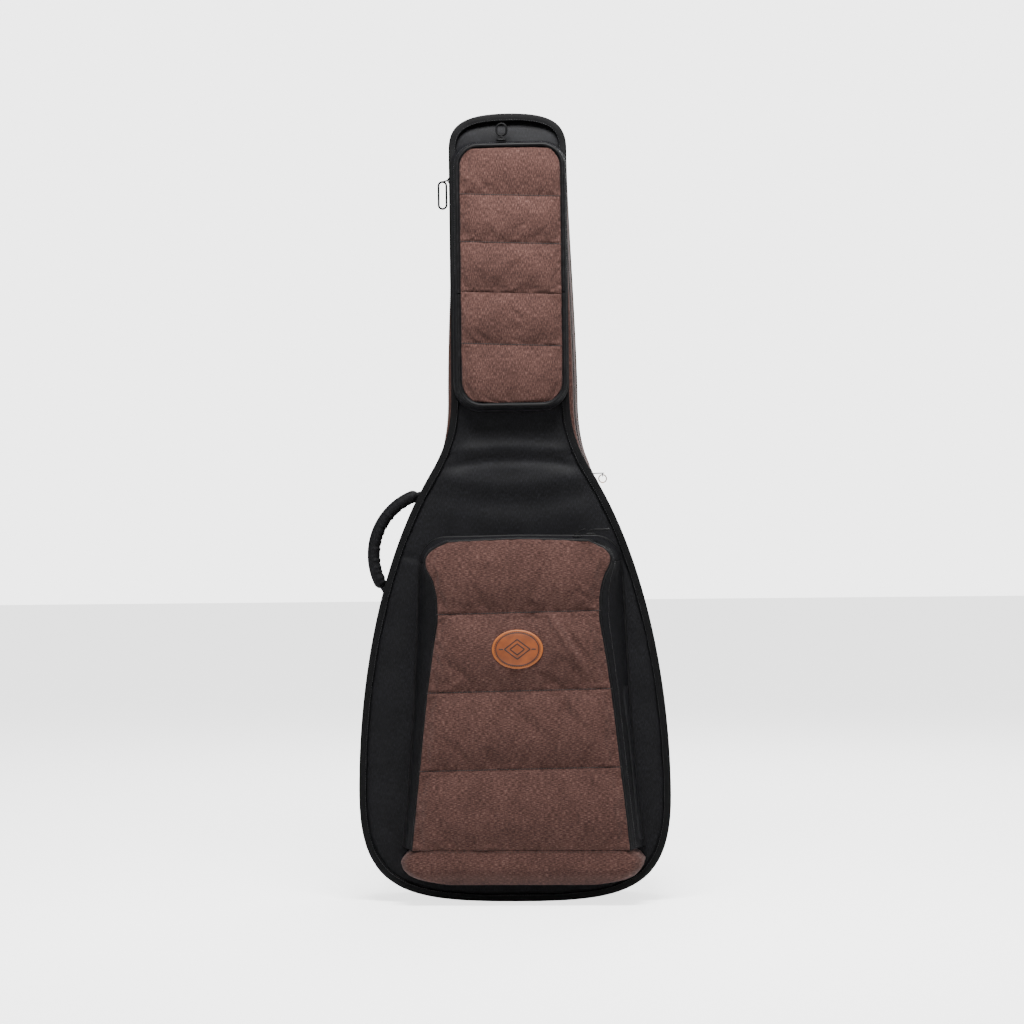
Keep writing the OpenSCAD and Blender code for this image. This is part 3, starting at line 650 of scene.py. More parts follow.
zip_line = around_zip(GUSSET, 4.0)
zip_inward = inward(zip_line, closed=False)
tape_profile = [(0.3, 0.0), (-0.6, 0.0), (-1.5, 0.5), (-1.5, 2.6), (-0.8, 3.2), (-0.5, 7.5), (0.3, 7.8)]
for side, body, node in ((1, "case", "case_zip_track"), (-1, "lid", "lid_zip_track")):
    profile = np.array(tape_profile) * [1, side] + [0, side * 0.25]
    tape = sweep(node + "_tape", zip_line, zip_inward, profile, tape_nylon, closed=False, y0=zip_y)
    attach(tape, body)
    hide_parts(node)
    row = zip_line - zip_inward * 1.6
    coils = stitches(node + "_coils", [at_depth(row, zip_y + side * 1.2)], coil_nylon, body,
                     pitch=2.6, length=1.3, width=2.2)
    lock = stitches(node + "_stitches", [at_depth(zip_line - zip_inward * 0.9, zip_y + side * 6.2)],
                    thread_black, body, pitch=4.0, length=2.8, width=0.7)

# ---- Neck pocket --------------------------------------------------------------------------------
# A flat pocket under the headstock. Its heather front is a foam pad quilted into five channels, and
# its upper part folds forward at the third seam when the zip is open.


def pocket_loop(cx, low, high, half_low, half_high, r_low, r_high, steps=10, along=48):
    """A rounded outline in X and Z, counter-clockwise from the bottom centre."""
    side = np.linspace(low + r_low, high - r_high, along)[1:-1]
    turn = np.radians(np.linspace(0, 90, steps))
    right = [(half_low - r_low + r_low * math.sin(a), low + r_low - r_low * math.cos(a)) for a in turn]
    right += [(half_low + (half_high - half_low) * (s - low - r_low) / (high - r_high - low - r_low), s)
              for s in side]
    right += [(half_high - r_high + r_high * math.cos(a), high - r_high + r_high * math.sin(a))
              for a in turn]
    bottom = [(half_low - r_low) * k / 12 for k in range(12)]
    top = [(half_high - r_high) * k / 12 for k in range(11, -1, -1)]
    half = [(x, low) for x in bottom] + right + [(x, high) for x in top]
    return mirrored(np.array(half)) + [cx, 0]


def pad_rows(loop, low, high, pitch):
    """Heights between low and high, and the loop's left and right edge at each."""
    centre = (loop[:, 0].min() + loop[:, 0].max()) / 2
    right, left = loop[loop[:, 0] >= centre - 1e-6], loop[loop[:, 0] <= centre + 1e-6]
    right, left = right[np.argsort(right[:, 1])], left[np.argsort(left[:, 1])]
    z = np.linspace(low, high, int((high - low) / pitch) + 1)
    return z, np.interp(z, left[:, 1], left[:, 0]), np.interp(z, right[:, 1], right[:, 0])


def finer(F):
    """Doubles a grid both ways along smooth curves."""
    for axis in (0, 1):
        G = np.moveaxis(F, axis, 0)
        H = np.concatenate([G[:1], G, G[-1:]])
        middle = (9 * (H[1:-2] + H[2:-1]) - H[:-3] - H[3:]) / 16
        out = np.empty((2 * len(G) - 1,) + G.shape[1:])
        out[0::2], out[1::2] = G, middle
        F = np.moveaxis(out, 0, axis)
    return F


CLOTH_FRAMES = 20


def quilt(name, x, z, seams, y_seam, puff, seed, cap=5.0, shrink=-0.05, rumple=0.4):
    """The front of a quilted pad: sewn down at its rim and seam rows, and blown up between them."""
    n, m = x.shape
    y = np.full((n, m), float(y_seam))
    rise = np.zeros(n)
    for a, b in zip(seams[:-1], seams[1:]):
        t = (np.arange(a, b + 1) - a) / (b - a)
        rise[a:b + 1] = np.maximum(rise[a:b + 1], np.sin(math.pi * t) ** 0.55)
    edge = np.minimum(x - x[:, :1], x[:, -1:] - x)
    y -= puff * rise[:, None] * np.clip(edge / 16, 0, 1) ** 0.6
    y -= rumple * ripple(x, z * 1.6, seed, 42) * rise[:, None] * np.clip(edge / 20, 0, 1)
    start = np.stack([x, y, z], 2)
    faces = [(i * m + j, i * m + j + 1, (i + 1) * m + j + 1, (i + 1) * m + j)
             for i in range(n - 1) for j in range(m - 1)]
    mesh = bpy.data.meshes.new(name + "_cloth")
    mesh.from_pydata([tuple(v) for v in start.reshape(-1, 3) * MM], [], faces)
    pad = bpy.data.objects.new(name + "_cloth", mesh)
    scene.collection.objects.link(pad)
    held = np.zeros((n, m), bool)
    held[seams] = True
    held[:, 0] = held[:, -1] = True
    group = pad.vertex_groups.new(name="sewn")
    group.add([int(k) for k in np.flatnonzero(held.ravel())], 1.0, "REPLACE")
    cloth = pad.modifiers.new("cloth", "CLOTH")
    cloth.settings.vertex_group_mass = "sewn"
    cloth.settings.quality = 5
    cloth.settings.mass = 0.3
    cloth.settings.tension_stiffness = cloth.settings.compression_stiffness = 20
    cloth.settings.bending_stiffness = 0.8
    cloth.settings.use_pressure = True
    cloth.settings.uniform_pressure_force = 4
    cloth.settings.shrink_min = shrink
    cloth.settings.effector_weights.gravity = 0
    for step in range(1, CLOTH_FRAMES + 1):
        scene.frame_set(step)
    settled = pad.evaluated_get(bpy.context.evaluated_depsgraph_get()).to_mesh()
    flat = np.empty(n * m * 3)
    settled.vertices.foreach_get("co", flat)
    moved = flat.reshape(n, m, 3) / MM - start
    bpy.data.objects.remove(pad)
    scene.frame_set(1)
    size = np.maximum(np.linalg.norm(moved, axis=2), 1e-6)[:, :, None]
    moved *= np.minimum(size, cap) / size
    shape = start + moved
    shape[:, :, 1] = np.minimum(shape[:, :, 1], y_seam + 0.5)
    return shape


np_low_box, np_high_box = box_of("neck_pocket_panel")
np_seam, flap_high = box_of("neck_pocket_flap")[:, 2]
np_cx = (np_low_box[0] + np_high_box[0]) / 2
np_half = (np_high_box[0] - np_low_box[0]) / 2
NP_FRONT, NP_BACK = np_low_box[1], np_high_box[1]
NP_TILT = -0.04
NP_SEAMS = (np_low_box[2], 782, np_seam, 924, 992, flap_high)
neck_face = pocket_loop(np_cx, np_low_box[2], flap_high, np_half, np_half, 29, 27, steps=12)


def sheared(x, z, low, high, cx, tilt, fade=36):
    """Tips rows a little, but leaves the pad's top and bottom edge as they are."""
    weight = np.clip(np.minimum(z - low, high - z) / fade, 0, 1)
    return z + tilt * (x - cx) * weight


def neck_pad(name, node, body, low, high, seams, seed):
    z, left, right = pad_rows(neck_face, low, high, 3.0)
    t = (spread(49, 0.2) + 1) / 2
    x = left[:, None] + (right - left)[:, None] * t[None, :]
    zz = sheared(x, np.repeat(z[:, None], len(t), 1), np_low_box[2], flap_high, np_cx, NP_TILT)
    rows = [int(np.abs(z - s).argmin()) for s in seams]
    face = finer(quilt(name, x, zz, rows, NP_FRONT + 3.0, 5.5, seed, shrink=-0.015, rumple=0.12))
    back = face.copy()
    back[:, :, 1] = NP_BACK - 0.4
    pad = slab(name, face, back, heather, uv=finer(np.stack([x, zz, x], 2))[:, :, :2], sharp=60)
    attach(pad, body)
    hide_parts(node)
    sewn = [face[2 * r, ::2] + [0, -0.25, 0] for r in rows[1:-1]]
    # Wide dark beads along the quilting seams: real stitching, and painted shade in the seam grooves.
    seam = stitches(name + "_stitches", sewn, thread_and_seam_shade, body, pitch=3.4, length=3.2, width=1.8)
    return face


neck_pad("neck_pocket_quilt", "neck_pocket_panel", "lid", np_low_box[2], np_seam, NP_SEAMS[:3], 21)
neck_pad("neck_flap_quilt", "neck_pocket_flap", "neck_flap", np_seam + 0.4, flap_high, NP_SEAMS[2:], 22)


def bead(radius, n=12, squash=1.0, lean=0.0):
    """A round cord's section, as (inwards, depth) pairs."""
    a = np.linspace(0, 2 * math.pi, n, endpoint=False)
    return np.stack([radius * np.cos(a) + lean, squash * radius * np.sin(a)], 1)


piping_vinyl = plain("black_satin_piping", "#060607", 0.5, specular=0.14, grain=0.8)
PIPING_OUT = 3.4
rim = even(pocket_loop(np_cx, np_low_box[2] - PIPING_OUT, flap_high + PIPING_OUT, np_half + PIPING_OUT,
                       np_half + PIPING_OUT, 32, 30), 1.5)


def between(loop, z0, z1):
    """The one open stretch of a loop between two heights that crosses its middle."""
    keep = (loop[:, 1] > z0) & (loop[:, 1] < z1)
    first = np.flatnonzero(keep & ~np.roll(keep, 1))
    if not len(first):
        return loop
    rolled = np.roll(loop, -first[-1], axis=0)
    return rolled[np.roll(keep, -first[-1])]


for name, node, body, z0, z1 in (("neck_piping", "neck_pocket_piping", "lid", 0, np_seam),
                                 ("neck_flap_welt", "neck_flap_piping", "neck_flap", np_seam, 2000)):
    path = between(rim, z0, z1)
    cord = sweep(name, path, inward(path, closed=False), bead(2.5), piping_vinyl, closed=False,
                 y0=NP_FRONT + 1.5)
    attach(cord, body)
    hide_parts(node)
    skirt = sweep(name + "_skirt", path, inward(path, closed=False), rounded_band(6.4, 6, 1.0, -3.0),
                  black_nylon, closed=False, y0=NP_FRONT + 2.2)
    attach(skirt, body)

np_wall_low, np_wall_high = box_of("neck_pocket_base_wall")
np_top_box = box_of("neck_pocket_top_wall")
NP_OUT = (np_wall_high[0] - np_wall_low[0]) / 2
np_base_cx = (np_wall_high[0] + np_wall_low[0]) / 2
WALL_OUT = 5.8
wall_front = pocket_loop(np_cx, np_low_box[2] - WALL_OUT, flap_high + WALL_OUT, np_half + WALL_OUT,
                         np_half + WALL_OUT, 34, 32)
wall_base = pocket_loop(np_base_cx, np_wall_low[2] + 0.4, np_top_box[1][2] - 0.4, NP_OUT - 0.4,
                        NP_OUT - 0.4, 38, 35)


def pocket_wall(name, outer, base, y_front, y_base, z0, z1, side, material, bulge=1.5, thick=3.0):
    """The stretch of a pocket's wall between two heights, from its front outline to its base."""
    keep = (base[:, 1] >= z0) & (base[:, 1] <= z1)
    if side:
        keep &= (base[:, 0] - base[:, 0].mean()) * side > 0
    first = np.flatnonzero(keep & ~np.roll(keep, 1))
    shift = -first[-1] if len(first) else 0
    keep = np.roll(keep, shift)
    return loft_wall(name, np.roll(outer, shift, axis=0)[keep], np.roll(base, shift, axis=0)[keep], y_front,
                     y_base, material, bulge, thick)


def loft_wall(name, a, b, y_front, y_base, material, bulge=1.5, thick=3.0, groove=0.3):
    """A strip of wall between matching front and base paths, and the line its zip runs on."""
    to_in = inward(b, closed=False)
    t = np.linspace(0, 1, 11)
    grid = a[:, None] * (1 - t[None, :, None]) + b[:, None] * t[None, :, None]
    swell = bulge * np.sin(math.pi * t) ** 0.8 - 1.3 * np.exp(-((t - groove) / 0.09) ** 2)
    grid = grid - to_in[:, None] * swell[None, :, None]
    depth = y_front + (y_base - y_front) * t
    inner = grid[:, ::-1] + to_in[:, None] * thick
    P = np.empty((len(a), 22, 3))
    P[:, :11, 0], P[:, :11, 2], P[:, :11, 1] = grid[:, :, 0], grid[:, :, 1], depth
    P[:, 11:, 0], P[:, 11:, 2], P[:, 11:, 1] = inner[:, :, 0], inner[:, :, 1], depth[::-1]
    wall = skin(name, P, material, (False, True), sharp=60)
    zip_at = grid[:, 3] - to_in * 0.2
    return wall, np.stack([zip_at[:, 0], np.full(len(a), depth[3]), zip_at[:, 1]], 1)


side_low, side_high = box_of("neck_pocket_left_wall")[:, 2]
for node, z0, z1, side, zipped in (("neck_pocket_base_wall", 0, side_low + 3, 0, False),
                                   ("neck_pocket_left_wall", side_low - 3, side_high + 3, -1, True),
                                   ("neck_pocket_right_wall", side_low - 3, side_high + 3, 1, True),
                                   ("neck_pocket_top_wall", side_high - 3, 2000, 0, True)):
    wall, teeth = pocket_wall(node + "_cloth", wall_front, wall_base, NP_FRONT + 8.2, front_y - 0.2, z0, z1,
                              side, black_nylon)
    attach(wall, "lid")
    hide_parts(node)
    if zipped:
        teeth = teeth[teeth[:, 2] > np_seam + 28]
        coils = stitches(node + "_coils", [teeth], coil_nylon, "lid", pitch=2.6, length=1.4, width=2.4)

# ---- Body pocket --------------------------------------------------------------------------------
# The large pocket: a quilted heather front over black gussets that splay out to the case. The front
# is waisted where the gussets are deepest, and swings forward from the seam above its base strip.

bp_box = box_of("body_pocket_panel")
BP_FRONT, BP_BACK = bp_box[0][1], bp_box[1][1]
bp_seam = bp_box[0][2]
bp_cx = (bp_box[0][0] + bp_box[1][0]) / 2
BP_EDGE = np.array([(bp_seam, 152), (191, 140), (300, 128), (360, 119), (400, 112.5), (435, 113.5),
                    (458, 119), (470, 126), (480, 130), (489, 128), (498, 120), (504, 108), (508, 92)])
BP_FOOT = np.array([(bp_seam, 170), (143, 162), (284, 151.5), (453, 143.5), (474, 142)])
BP_CORNER, BP_TOP = 474, 508
BP_SEAMS = (bp_seam, 191, 300, 411, BP_TOP)
BP_TILT = 0.018


def panel_edge(z):
    """Half width of the pocket's front at a height."""
    fine = np.linspace(BP_EDGE[0, 0], BP_EDGE[-1, 0], 260)
    width = np.interp(fine, BP_EDGE[:, 0], BP_EDGE[:, 1])
    soft = np.convolve(np.pad(width, 4, mode="edge"), np.ones(9) / 9, mode="valid")
    return np.interp(z, fine, soft)


def crease(x, z, x0, z0, x1, z1, width, depth):
    """A valley along a line, with a soft ridge beside it."""
    run = math.hypot(x1 - x0, z1 - z0)
    u = ((x - x0) * (x1 - x0) + (z - z0) * (z1 - z0)) / run
    v = ((x - x0) * -(z1 - z0) + (z - z0) * (x1 - x0)) / run
    fade = np.clip(u / (0.3 * run), 0, 1) * np.clip((run - u) / (0.3 * run), 0, 1)
    return depth * fade * (np.exp(-(v / width) ** 2) - 0.6 * np.exp(-((v - 1.9 * width) / width) ** 2))


z_rows = np.concatenate([np.linspace(bp_seam, 494, 104)[:-1], np.linspace(494, BP_TOP, 6)])
half_w = panel_edge(z_rows)
across = spread(74, 0.15)
x = bp_cx + half_w[:, None] * across[None, :]
z = np.repeat(z_rows[:, None], len(across), 1)
z = z + 3.5 * (1 - across[None, :] ** 2) * np.clip((z - 440) / 71, 0, 1) ** 2
z = sheared(x, z, bp_seam, BP_TOP, bp_cx, BP_TILT)
rows = [int(np.abs(z_rows - s).argmin()) for s in BP_SEAMS]
face = quilt("body_pocket", x, z, rows, BP_FRONT + 4.5, 7.0, 31, cap=5.0, shrink=-0.02, rumple=0.25)
for line in ((49, 414, 104, 330, 5, -5.0), (66, 352, 108, 310, 6, 2.0), (30, 332, 74, 304, 5, 1.6),
             (-10, 398, 44, 405, 4, 1.2), (-88, 276, -40, 212, 8, 1.6), (0, 286, 58, 222, 8, 2.2),
             (58, 292, 116, 232, 7, 2.4), (96, 184, 134, 120, 8, 1.6), (-60, 330, -96, 306, 5, 1.2),
             (30, 180, 92, 120, 9, 1.2), (88, 440, 118, 424, 4, 1.4), (-70, 470, 10, 462, 8, 1.0)):
    face[:, :, 1] += crease(face[:, :, 0], face[:, :, 2], *line)
face = finer(face)
back = face.copy()
back[:, :, 1] = BP_BACK - 0.4
flat_uv = finer(np.stack([z, x, x], 2))[:, :, :2]
body_quilt = slab("body_pocket_quilt", face, back, heather, uv=flat_uv, sharp=60)
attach(body_quilt, "pocket_panel")
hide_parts("body_pocket_panel")
# Wide dark beads along the quilting seams: real stitching, and painted shade in the seam grooves.
quilt_lines = stitches("body_pocket_quilt_stitches", [face[2 * r] + [0, -0.25, 0] for r in rows[1:-1]],
                       thread_and_seam_shade, "pocket_panel", pitch=3.6, length=3.4, width=1.9)
BP_FACE = face
side_z = np.linspace(bp_seam, BP_CORNER, 80)
corner = np.linspace(0, 1, 14)[1:]
corner_z = BP_CORNER + (BP_TOP - BP_CORNER) * corner
top_t = np.linspace(0, 1, 22)[1:]
front_half_pts = np.vstack([np.stack([panel_edge(side_z), side_z], 1),
                            np.stack([panel_edge(corner_z), corner_z], 1),
                            np.stack([92 * (1 - top_t), BP_TOP + 3.5 * top_t], 1)])
foot_half = np.interp(side_z, BP_FOOT[:, 0], BP_FOOT[:, 1])
arc = np.radians(90 * corner)
base_half_pts = np.vstack([np.stack([foot_half, side_z], 1),
                           np.stack([104 + 38 * np.cos(arc), 476 + 38 * np.sin(arc)], 1),
                           np.stack([104 * (1 - top_t), 514 + 1.5 * top_t], 1)])
n_side = len(side_z)
PF = np.vstack([front_half_pts, (front_half_pts * [-1, 1])[-2::-1]]) + [bp_cx, 0]
PB = np.vstack([base_half_pts, (base_half_pts * [-1, 1])[-2::-1]]) + [bp_cx, 0]
wall_front_y = BP_FRONT + 8.5
wall_base_y = front_y - 0.2
parts = (("body_pocket_right_wall", slice(0, n_side + 1), True),
         ("body_pocket_top_wall", slice(n_side - 2, len(PF) - n_side + 2), True),
         ("body_pocket_left_wall", slice(len(PF) - n_side - 1, len(PF)), False))
for node, span, zipped in parts:
    deep = node != "body_pocket_top_wall"
    wall, teeth = loft_wall(node + "_cloth", PF[span], PB[span], wall_front_y, wall_base_y, black_nylon,
                            bulge=3.5 if deep else 1.5, groove=0.3 if zipped else -1)
    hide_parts(node)
    if zipped:
        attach(wall, "lid")
        coils = stitches(node + "_coils", [teeth], coil_nylon, "lid", pitch=2.6, length=1.4, width=2.4)
    else:
        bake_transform(wall)

fold_z = slice(2, 46)
fold_a, fold_b = PF[fold_z] * 0.45 + PB[fold_z] * 0.55, PF[fold_z] * 0.12 + PB[fold_z] * 0.88
fold_in = inward(PB, closed=False)[fold_z]
open_by = np.sin(math.pi * np.linspace(0, 1, len(fold_a))) ** 0.5
fold_lining = plain("black_satin_lining", "#0c0c0f", 0.5, specular=0.2, grain=1.0, depth=0.2)
inner_fold, _ = loft_wall("body_pocket_bellows_fold", fold_a - fold_in * (1.5 + 3.2 * open_by[:, None]),
                          fold_b - fold_in * 1.5, wall_front_y + 27, wall_base_y - 5,
                          fold_lining, bulge=2.0,
                          thick=1.2, groove=-1)
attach(inner_fold, "lid")

welt = sweep("body_pocket_welt", PF, inward(PF, closed=False), bead(1.7, lean=-0.4), piping_vinyl,
             closed=False, y0=BP_FRONT + 5.6)
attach(welt, "pocket_panel")
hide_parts("body_pocket_piping")
foot = sweep("body_pocket_foot_welt", PB, inward(PB, closed=False), bead(1.9), piping_vinyl, closed=False,
             y0=wall_base_y - 1.2)
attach(foot, "lid")

# ---- Base strip of the body pocket --------------------------------------------------------------
# The pocket's floor: a stiffened strip that wraps under the pocket, and stays with the lid.

strip_box = box_of("body_pocket_base")
strip_low = strip_box[0][2]
STRIP_EDGE = np.array([(strip_low, 112), (31, 128), (35, 144), (42, 157), (52, 166), (63, 169), (72, 162),
                       (bp_seam, 152)])
t = np.linspace(0, 1, 30)
strip_z = strip_low + (bp_seam - 0.8 - strip_low) * t ** 1.3
strip_half = np.interp(strip_z, STRIP_EDGE[:, 0], STRIP_EDGE[:, 1])
across = spread(110, 0.2)
x = bp_cx + strip_half[:, None] * across[None, :]
z = np.repeat(strip_z[:, None], len(across), 1)
roll_under = np.clip(1 - (z - strip_low) / 26, 0, 1) ** 2
roll_side = np.clip((np.abs(across)[None, :] - 0.9) / 0.1, 0, 1) ** 2
y = BP_FRONT + 5.0 + 26 * roll_under + 14 * roll_side * np.ones_like(z)
y -= 1.4 * np.sin(math.pi * np.clip((z - strip_low) / (bp_seam - strip_low), 0, 1)) ** 0.5
y += 0.6 * ripple(x, z, 37, 60)
face = np.stack([x, y, z], 2)
back = face.copy()
back[:, :, 1] = wall_base_y
back[:, :, 0] = bp_cx + (back[:, :, 0] - bp_cx) * 1.015
strip = slab("body_pocket_base_cloth", face, back, heather, uv=face[:, :, [2, 0]], sharp=60)
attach(strip, "lid")
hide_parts("body_pocket_base")
top_edge = face[-1] + [0, -0.6, -1.8]
strip_stitch = stitches("base_strip_stitches", [top_edge], thread_and_seam_shade, "lid", pitch=3.6, length=2.4,
                        width=0.8)

# ---- Leather patch ------------------------------------------------------------------------------
# An oval of tan leather sewn to the pocket through its rim, with a border line and a plain lozenge
# burnt into it.


def leather(name):
    """Vegetable-tanned leather: pores under a millimetre, cloudy tone, and a paler band painted along its
    rim as a highlight.
    """
    material, tree = new_material(name)
    place = add_node(tree, "ShaderNodeTexCoord").outputs["Object"]
    clouds = add_node(tree, "ShaderNodeTexNoise", {"Vector": place, "Scale": 70.0, "Detail": 5.0})
    pores = add_node(tree, "ShaderNodeTexVoronoi", {"Vector": place, "Scale": 1300.0})
    uv = add_node(tree, "ShaderNodeUVMap", uv_map="UVMap").outputs[0]
    rim = add_node(tree, "ShaderNodeSeparateXYZ", {0: uv})
    # Painted highlight: within 4 mm of the rim the colour is blended towards a paler tan, as if light
    # caught the rounded rim.
    edge = add_node(tree, "ShaderNodeMapRange", {0: rim.outputs["Y"], 1: 0.0, 2: 0.004, 3: 1.0, 4: 0.0})
    tone = add_node(tree, "ShaderNodeValToRGB", {0: clouds.outputs[0]})
    tone.color_ramp.elements[0].position = 0.3
    tone.color_ramp.elements[0].color = colour("#5a2a0a")
    tone.color_ramp.elements[1].position = 0.72
    tone.color_ramp.elements[1].color = colour("#7c3c10")
    rim_highlight = add_node(tree, "ShaderNodeMix", {"Factor": edge.outputs[0], 6: tone.outputs[0],
                                              7: colour("#96521c")}, data_type="RGBA")
    bump = add_node(tree, "ShaderNodeBump", {"Strength": 0.5, "Distance": 0.1 * MM,
                                             "Height": pores.outputs[0]})
    hide = add_node(tree, "ShaderNodeBsdfPrincipled", {"Base Color": rim_highlight.outputs[2],
                                                       "Normal": bump.outputs[0], "Roughness": 0.5})
    hide.inputs["Specular IOR Level"].default_value = 0.4
    add_node(tree, "ShaderNodeOutputMaterial", {"Surface": hide.outputs[0]})
    return material


tan_leather = leather("tan_leather")
burnt_line = plain("burnt_leather_line", "#100804", 0.6, grain=0.5)
patch_low, patch_high = box_of("leather_patch")
pc = (patch_low + patch_high) / 2
pa, pb = (patch_high[0] - patch_low[0]) / 2, (patch_high[2] - patch_low[2]) / 2
near_patch = ((BP_FACE[:, :, 0] - pc[0]) / pa) ** 2 + ((BP_FACE[:, :, 2] - pc[2]) / pb) ** 2 < 1
under = BP_FACE[near_patch]
fit = np.linalg.lstsq(np.stack([np.ones(len(under)), under[:, 0] - pc[0], under[:, 2] - pc[2],
                                (under[:, 0] - pc[0]) ** 2, (under[:, 2] - pc[2]) ** 2], 1),
                      under[:, 1], rcond=None)[0]


def patch_depth(x, z):
    """The patch's face: a smooth cushion that follows the quilting under it."""
    dx, dz = x - pc[0], z - pc[2]
    return fit[0] + fit[1] * dx + fit[2] * dz + fit[3] * dx ** 2 + fit[4] * dz ** 2 - 2.6


turn = np.linspace(0, 2 * math.pi, 96, endpoint=False)
rings = [(0.0, 0), (0.3, 0), (0.55, 0), (0.75, 0), (0.86, 0.0), (0.895, 0.35), (0.93, 0.05), (0.97, 0.1),
         (0.992, 0.5), (1.0, 1.2), (0.995, 2.2), (0.97, 3.2), (0.6, 4.5), (0.0, 4.5)]
P = np.empty((len(rings), len(turn), 3))
for k, (share, sink) in enumerate(rings):
    P[k, :, 0] = pc[0] + pa * share * np.cos(turn)
    P[k, :, 2] = pc[2] + pb * share * np.sin(turn)
    P[k, :, 1] = patch_depth(P[k, :, 0], P[k, :, 2]) + sink
shares = np.array([share for share, _ in rings] + [0])
mean_r = (pa + pb) / 2
uv = np.stack(np.meshgrid(np.append(turn, 2 * math.pi) * mean_r, (1 - shares) * mean_r), axis=2)
patch = skin("leather_patch_oval", P, tan_leather, (False, True), uv=uv, sharp=60)
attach(patch, "pocket_panel")
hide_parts("leather_patch")
rim = np.stack([pc[0] + 0.895 * pa * np.cos(turn), np.zeros(96), pc[2] + 0.895 * pb * np.sin(turn)], 1)
rim[:, 1] = patch_depth(rim[:, 0], rim[:, 2]) + 0.15
oval_stitch = stitches("leather_patch_stitches", [rim], thread_and_seam_shade, "pocket_panel", pitch=3.0, length=2.0,
                       width=0.7, closed=True)


def tube(name, path, radius, material, closed=False, sides=12):
    """A round cord or wire along a line in space. Its radius may change along it."""
    path = np.asarray(path, float)
    n = len(path)
    along = (np.roll(path, -1, 0) - np.roll(path, 1, 0)) if closed else np.gradient(path, axis=0)
    along /= np.linalg.norm(along, axis=1)[:, None]
    side = np.cross(along[0], (0.3, 1, 0.2))
    radius = np.broadcast_to(radius, n)
    a = np.linspace(0, 2 * math.pi, sides, endpoint=False)
    P = np.empty((n, sides, 3))
    for k in range(n):
        side = side - along[k] * (side @ along[k])
        side /= np.linalg.norm(side)
        other = np.cross(along[k], side)
        P[k] = path[k] + radius[k] * (np.cos(a)[:, None] * side + np.sin(a)[:, None] * other)
    return skin(name, P, material, (closed, True), sharp=60)


def ribbon(name, path, across, out, width, thick, material, closed=False, sides=20, boxy=0.35):
    """A flat strip along a line in space: webbing, or a pad if it is thick. Sizes may vary along it."""
    path, across, out = (np.asarray(v, float) for v in (path, across, out))
    n = len(path)
    across = np.broadcast_to(across, (n, 3))
    width, thick = np.broadcast_to(width, n), np.broadcast_to(thick, n)
    a = np.linspace(0, 2 * math.pi, sides, endpoint=False)
    ca = np.sign(np.cos(a)) * np.abs(np.cos(a)) ** boxy
    sa = np.sign(np.sin(a)) * np.abs(np.sin(a)) ** boxy
    P = (path[:, None] + (width[:, None] / 2 * ca)[:, :, None] * across[:, None]
         + (thick[:, None] / 2 * sa)[:, :, None] * out[:, None])
    return skin(name, P, material, (closed, True), sharp=60)


def on_patch(points):
    """Points across the patch, from -1 to 1, as places on its face."""
    points = even(np.array(points, float), 0.02, closed=False)
    x, z = pc[0] + pa * points[:, 0], pc[2] + pb * points[:, 1]
    return np.stack([x, patch_depth(x, z), z], 1)


motif = [[(-r, 0), (0, r), (r, 0), (0, -r), (-r, 0)] for r in (0.5, 0.28)]
motif += [[(-0.72, 0), (-0.55, 0)], [(0.55, 0), (0.72, 0)]]
border = [(0.84 * math.cos(a), 0.84 * math.sin(a)) for a in np.linspace(0, 2 * math.pi, 80)]
for k, points in enumerate(motif + [border]):
    thick = 0.8 if k == len(motif) else 1.2
    stroke = tube("patch_motif_%d" % k, on_patch(points) + [0, thick - 0.4, 0], thick, burnt_line, sides=10)
    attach(stroke, "pocket_panel")

# ---- Zip sliders and pulls ----------------------------------------------------------------------
# Cast zinc sliders painted black, each with a bail. The body pocket's pulls are flat tabs; the neck
# pocket's and the main zip's are loops of wire.

black_zinc = plain("black_painted_zinc", "#050506", 0.5, specular=0.15, grain=0.4, depth=0.03)
pull_paint = plain("black_painted_wire", "#040405", 0.5, specular=0.12, grain=0.4, depth=0.02)


def zip_slider(name, node, body, centre, along, up):
    """A slider at centre: its plate runs along and its bail stands up."""
    centre, along, up = (np.array(v, float) for v in (centre, along, up))
    across = np.cross(up, along)
    t = np.linspace(0, 1, 15)
    width = 4.4 - 1.1 * np.exp(-((t - 0.62) / 0.16) ** 2) - 1.6 * np.abs(2 * t - 1) ** 6
    a = np.linspace(0, 2 * math.pi, 16, endpoint=False)
    ca = np.sign(np.cos(a)) * np.abs(np.cos(a)) ** 0.5
    sa = np.sign(np.sin(a)) * np.abs(np.sin(a)) ** 0.5
    high = 1.5 * (1 - 0.45 * np.abs(2 * t - 1) ** 4)
    P = (centre + (14 * t - 7)[:, None, None] * along + (width[:, None] * ca)[:, :, None] * across
         + (1.5 + high[:, None] * sa)[:, :, None] * up)
    plate = skin(name + "_plate", P, black_zinc, sharp=60)
    b = np.linspace(0, math.pi, 13)
    arch = centre + (3.6 * np.cos(b))[:, None] * along + (2.6 + 3.2 * np.sin(b))[:, None] * up
    bail = tube(name + "_bail", arch, 0.9, black_zinc, sides=8)
    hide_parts(node)
    for piece in (plate, bail):
        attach(piece, body)
    return centre + 4.9 * up


main_c = box_of("main_zip_slider").mean(0)
lean = math.atan2(12, gusset_top - 50 - neck_z)
main_along = (math.sin(lean), 0, math.cos(lean))
main_up = (-math.cos(lean), 0, math.sin(lean))
top_c, left_c, right_c = (box_of(node) for node in
                          ("neck_pocket_slider", "body_pocket_slider_left", "body_pocket_slider_right"))
zip_slider("main_zip_slider", "main_zip_slider", "main_slider",
           main_c + 3 * np.array([math.cos(lean), 0, 0]), main_along, main_up)
for name, corners, body in (("neck_pocket_slider", top_c, "neck_pocket_slider"),
                            ("body_pocket_slider_left", left_c, "pocket_slider_left"),
                            ("body_pocket_slider_right", right_c, "pocket_slider_right")):
    foot_at = corners.mean(0)
    foot_at[2] = corners[0][2]
    zip_slider(name, name, body, foot_at, (1, 0, 0), (0, 0, 1))

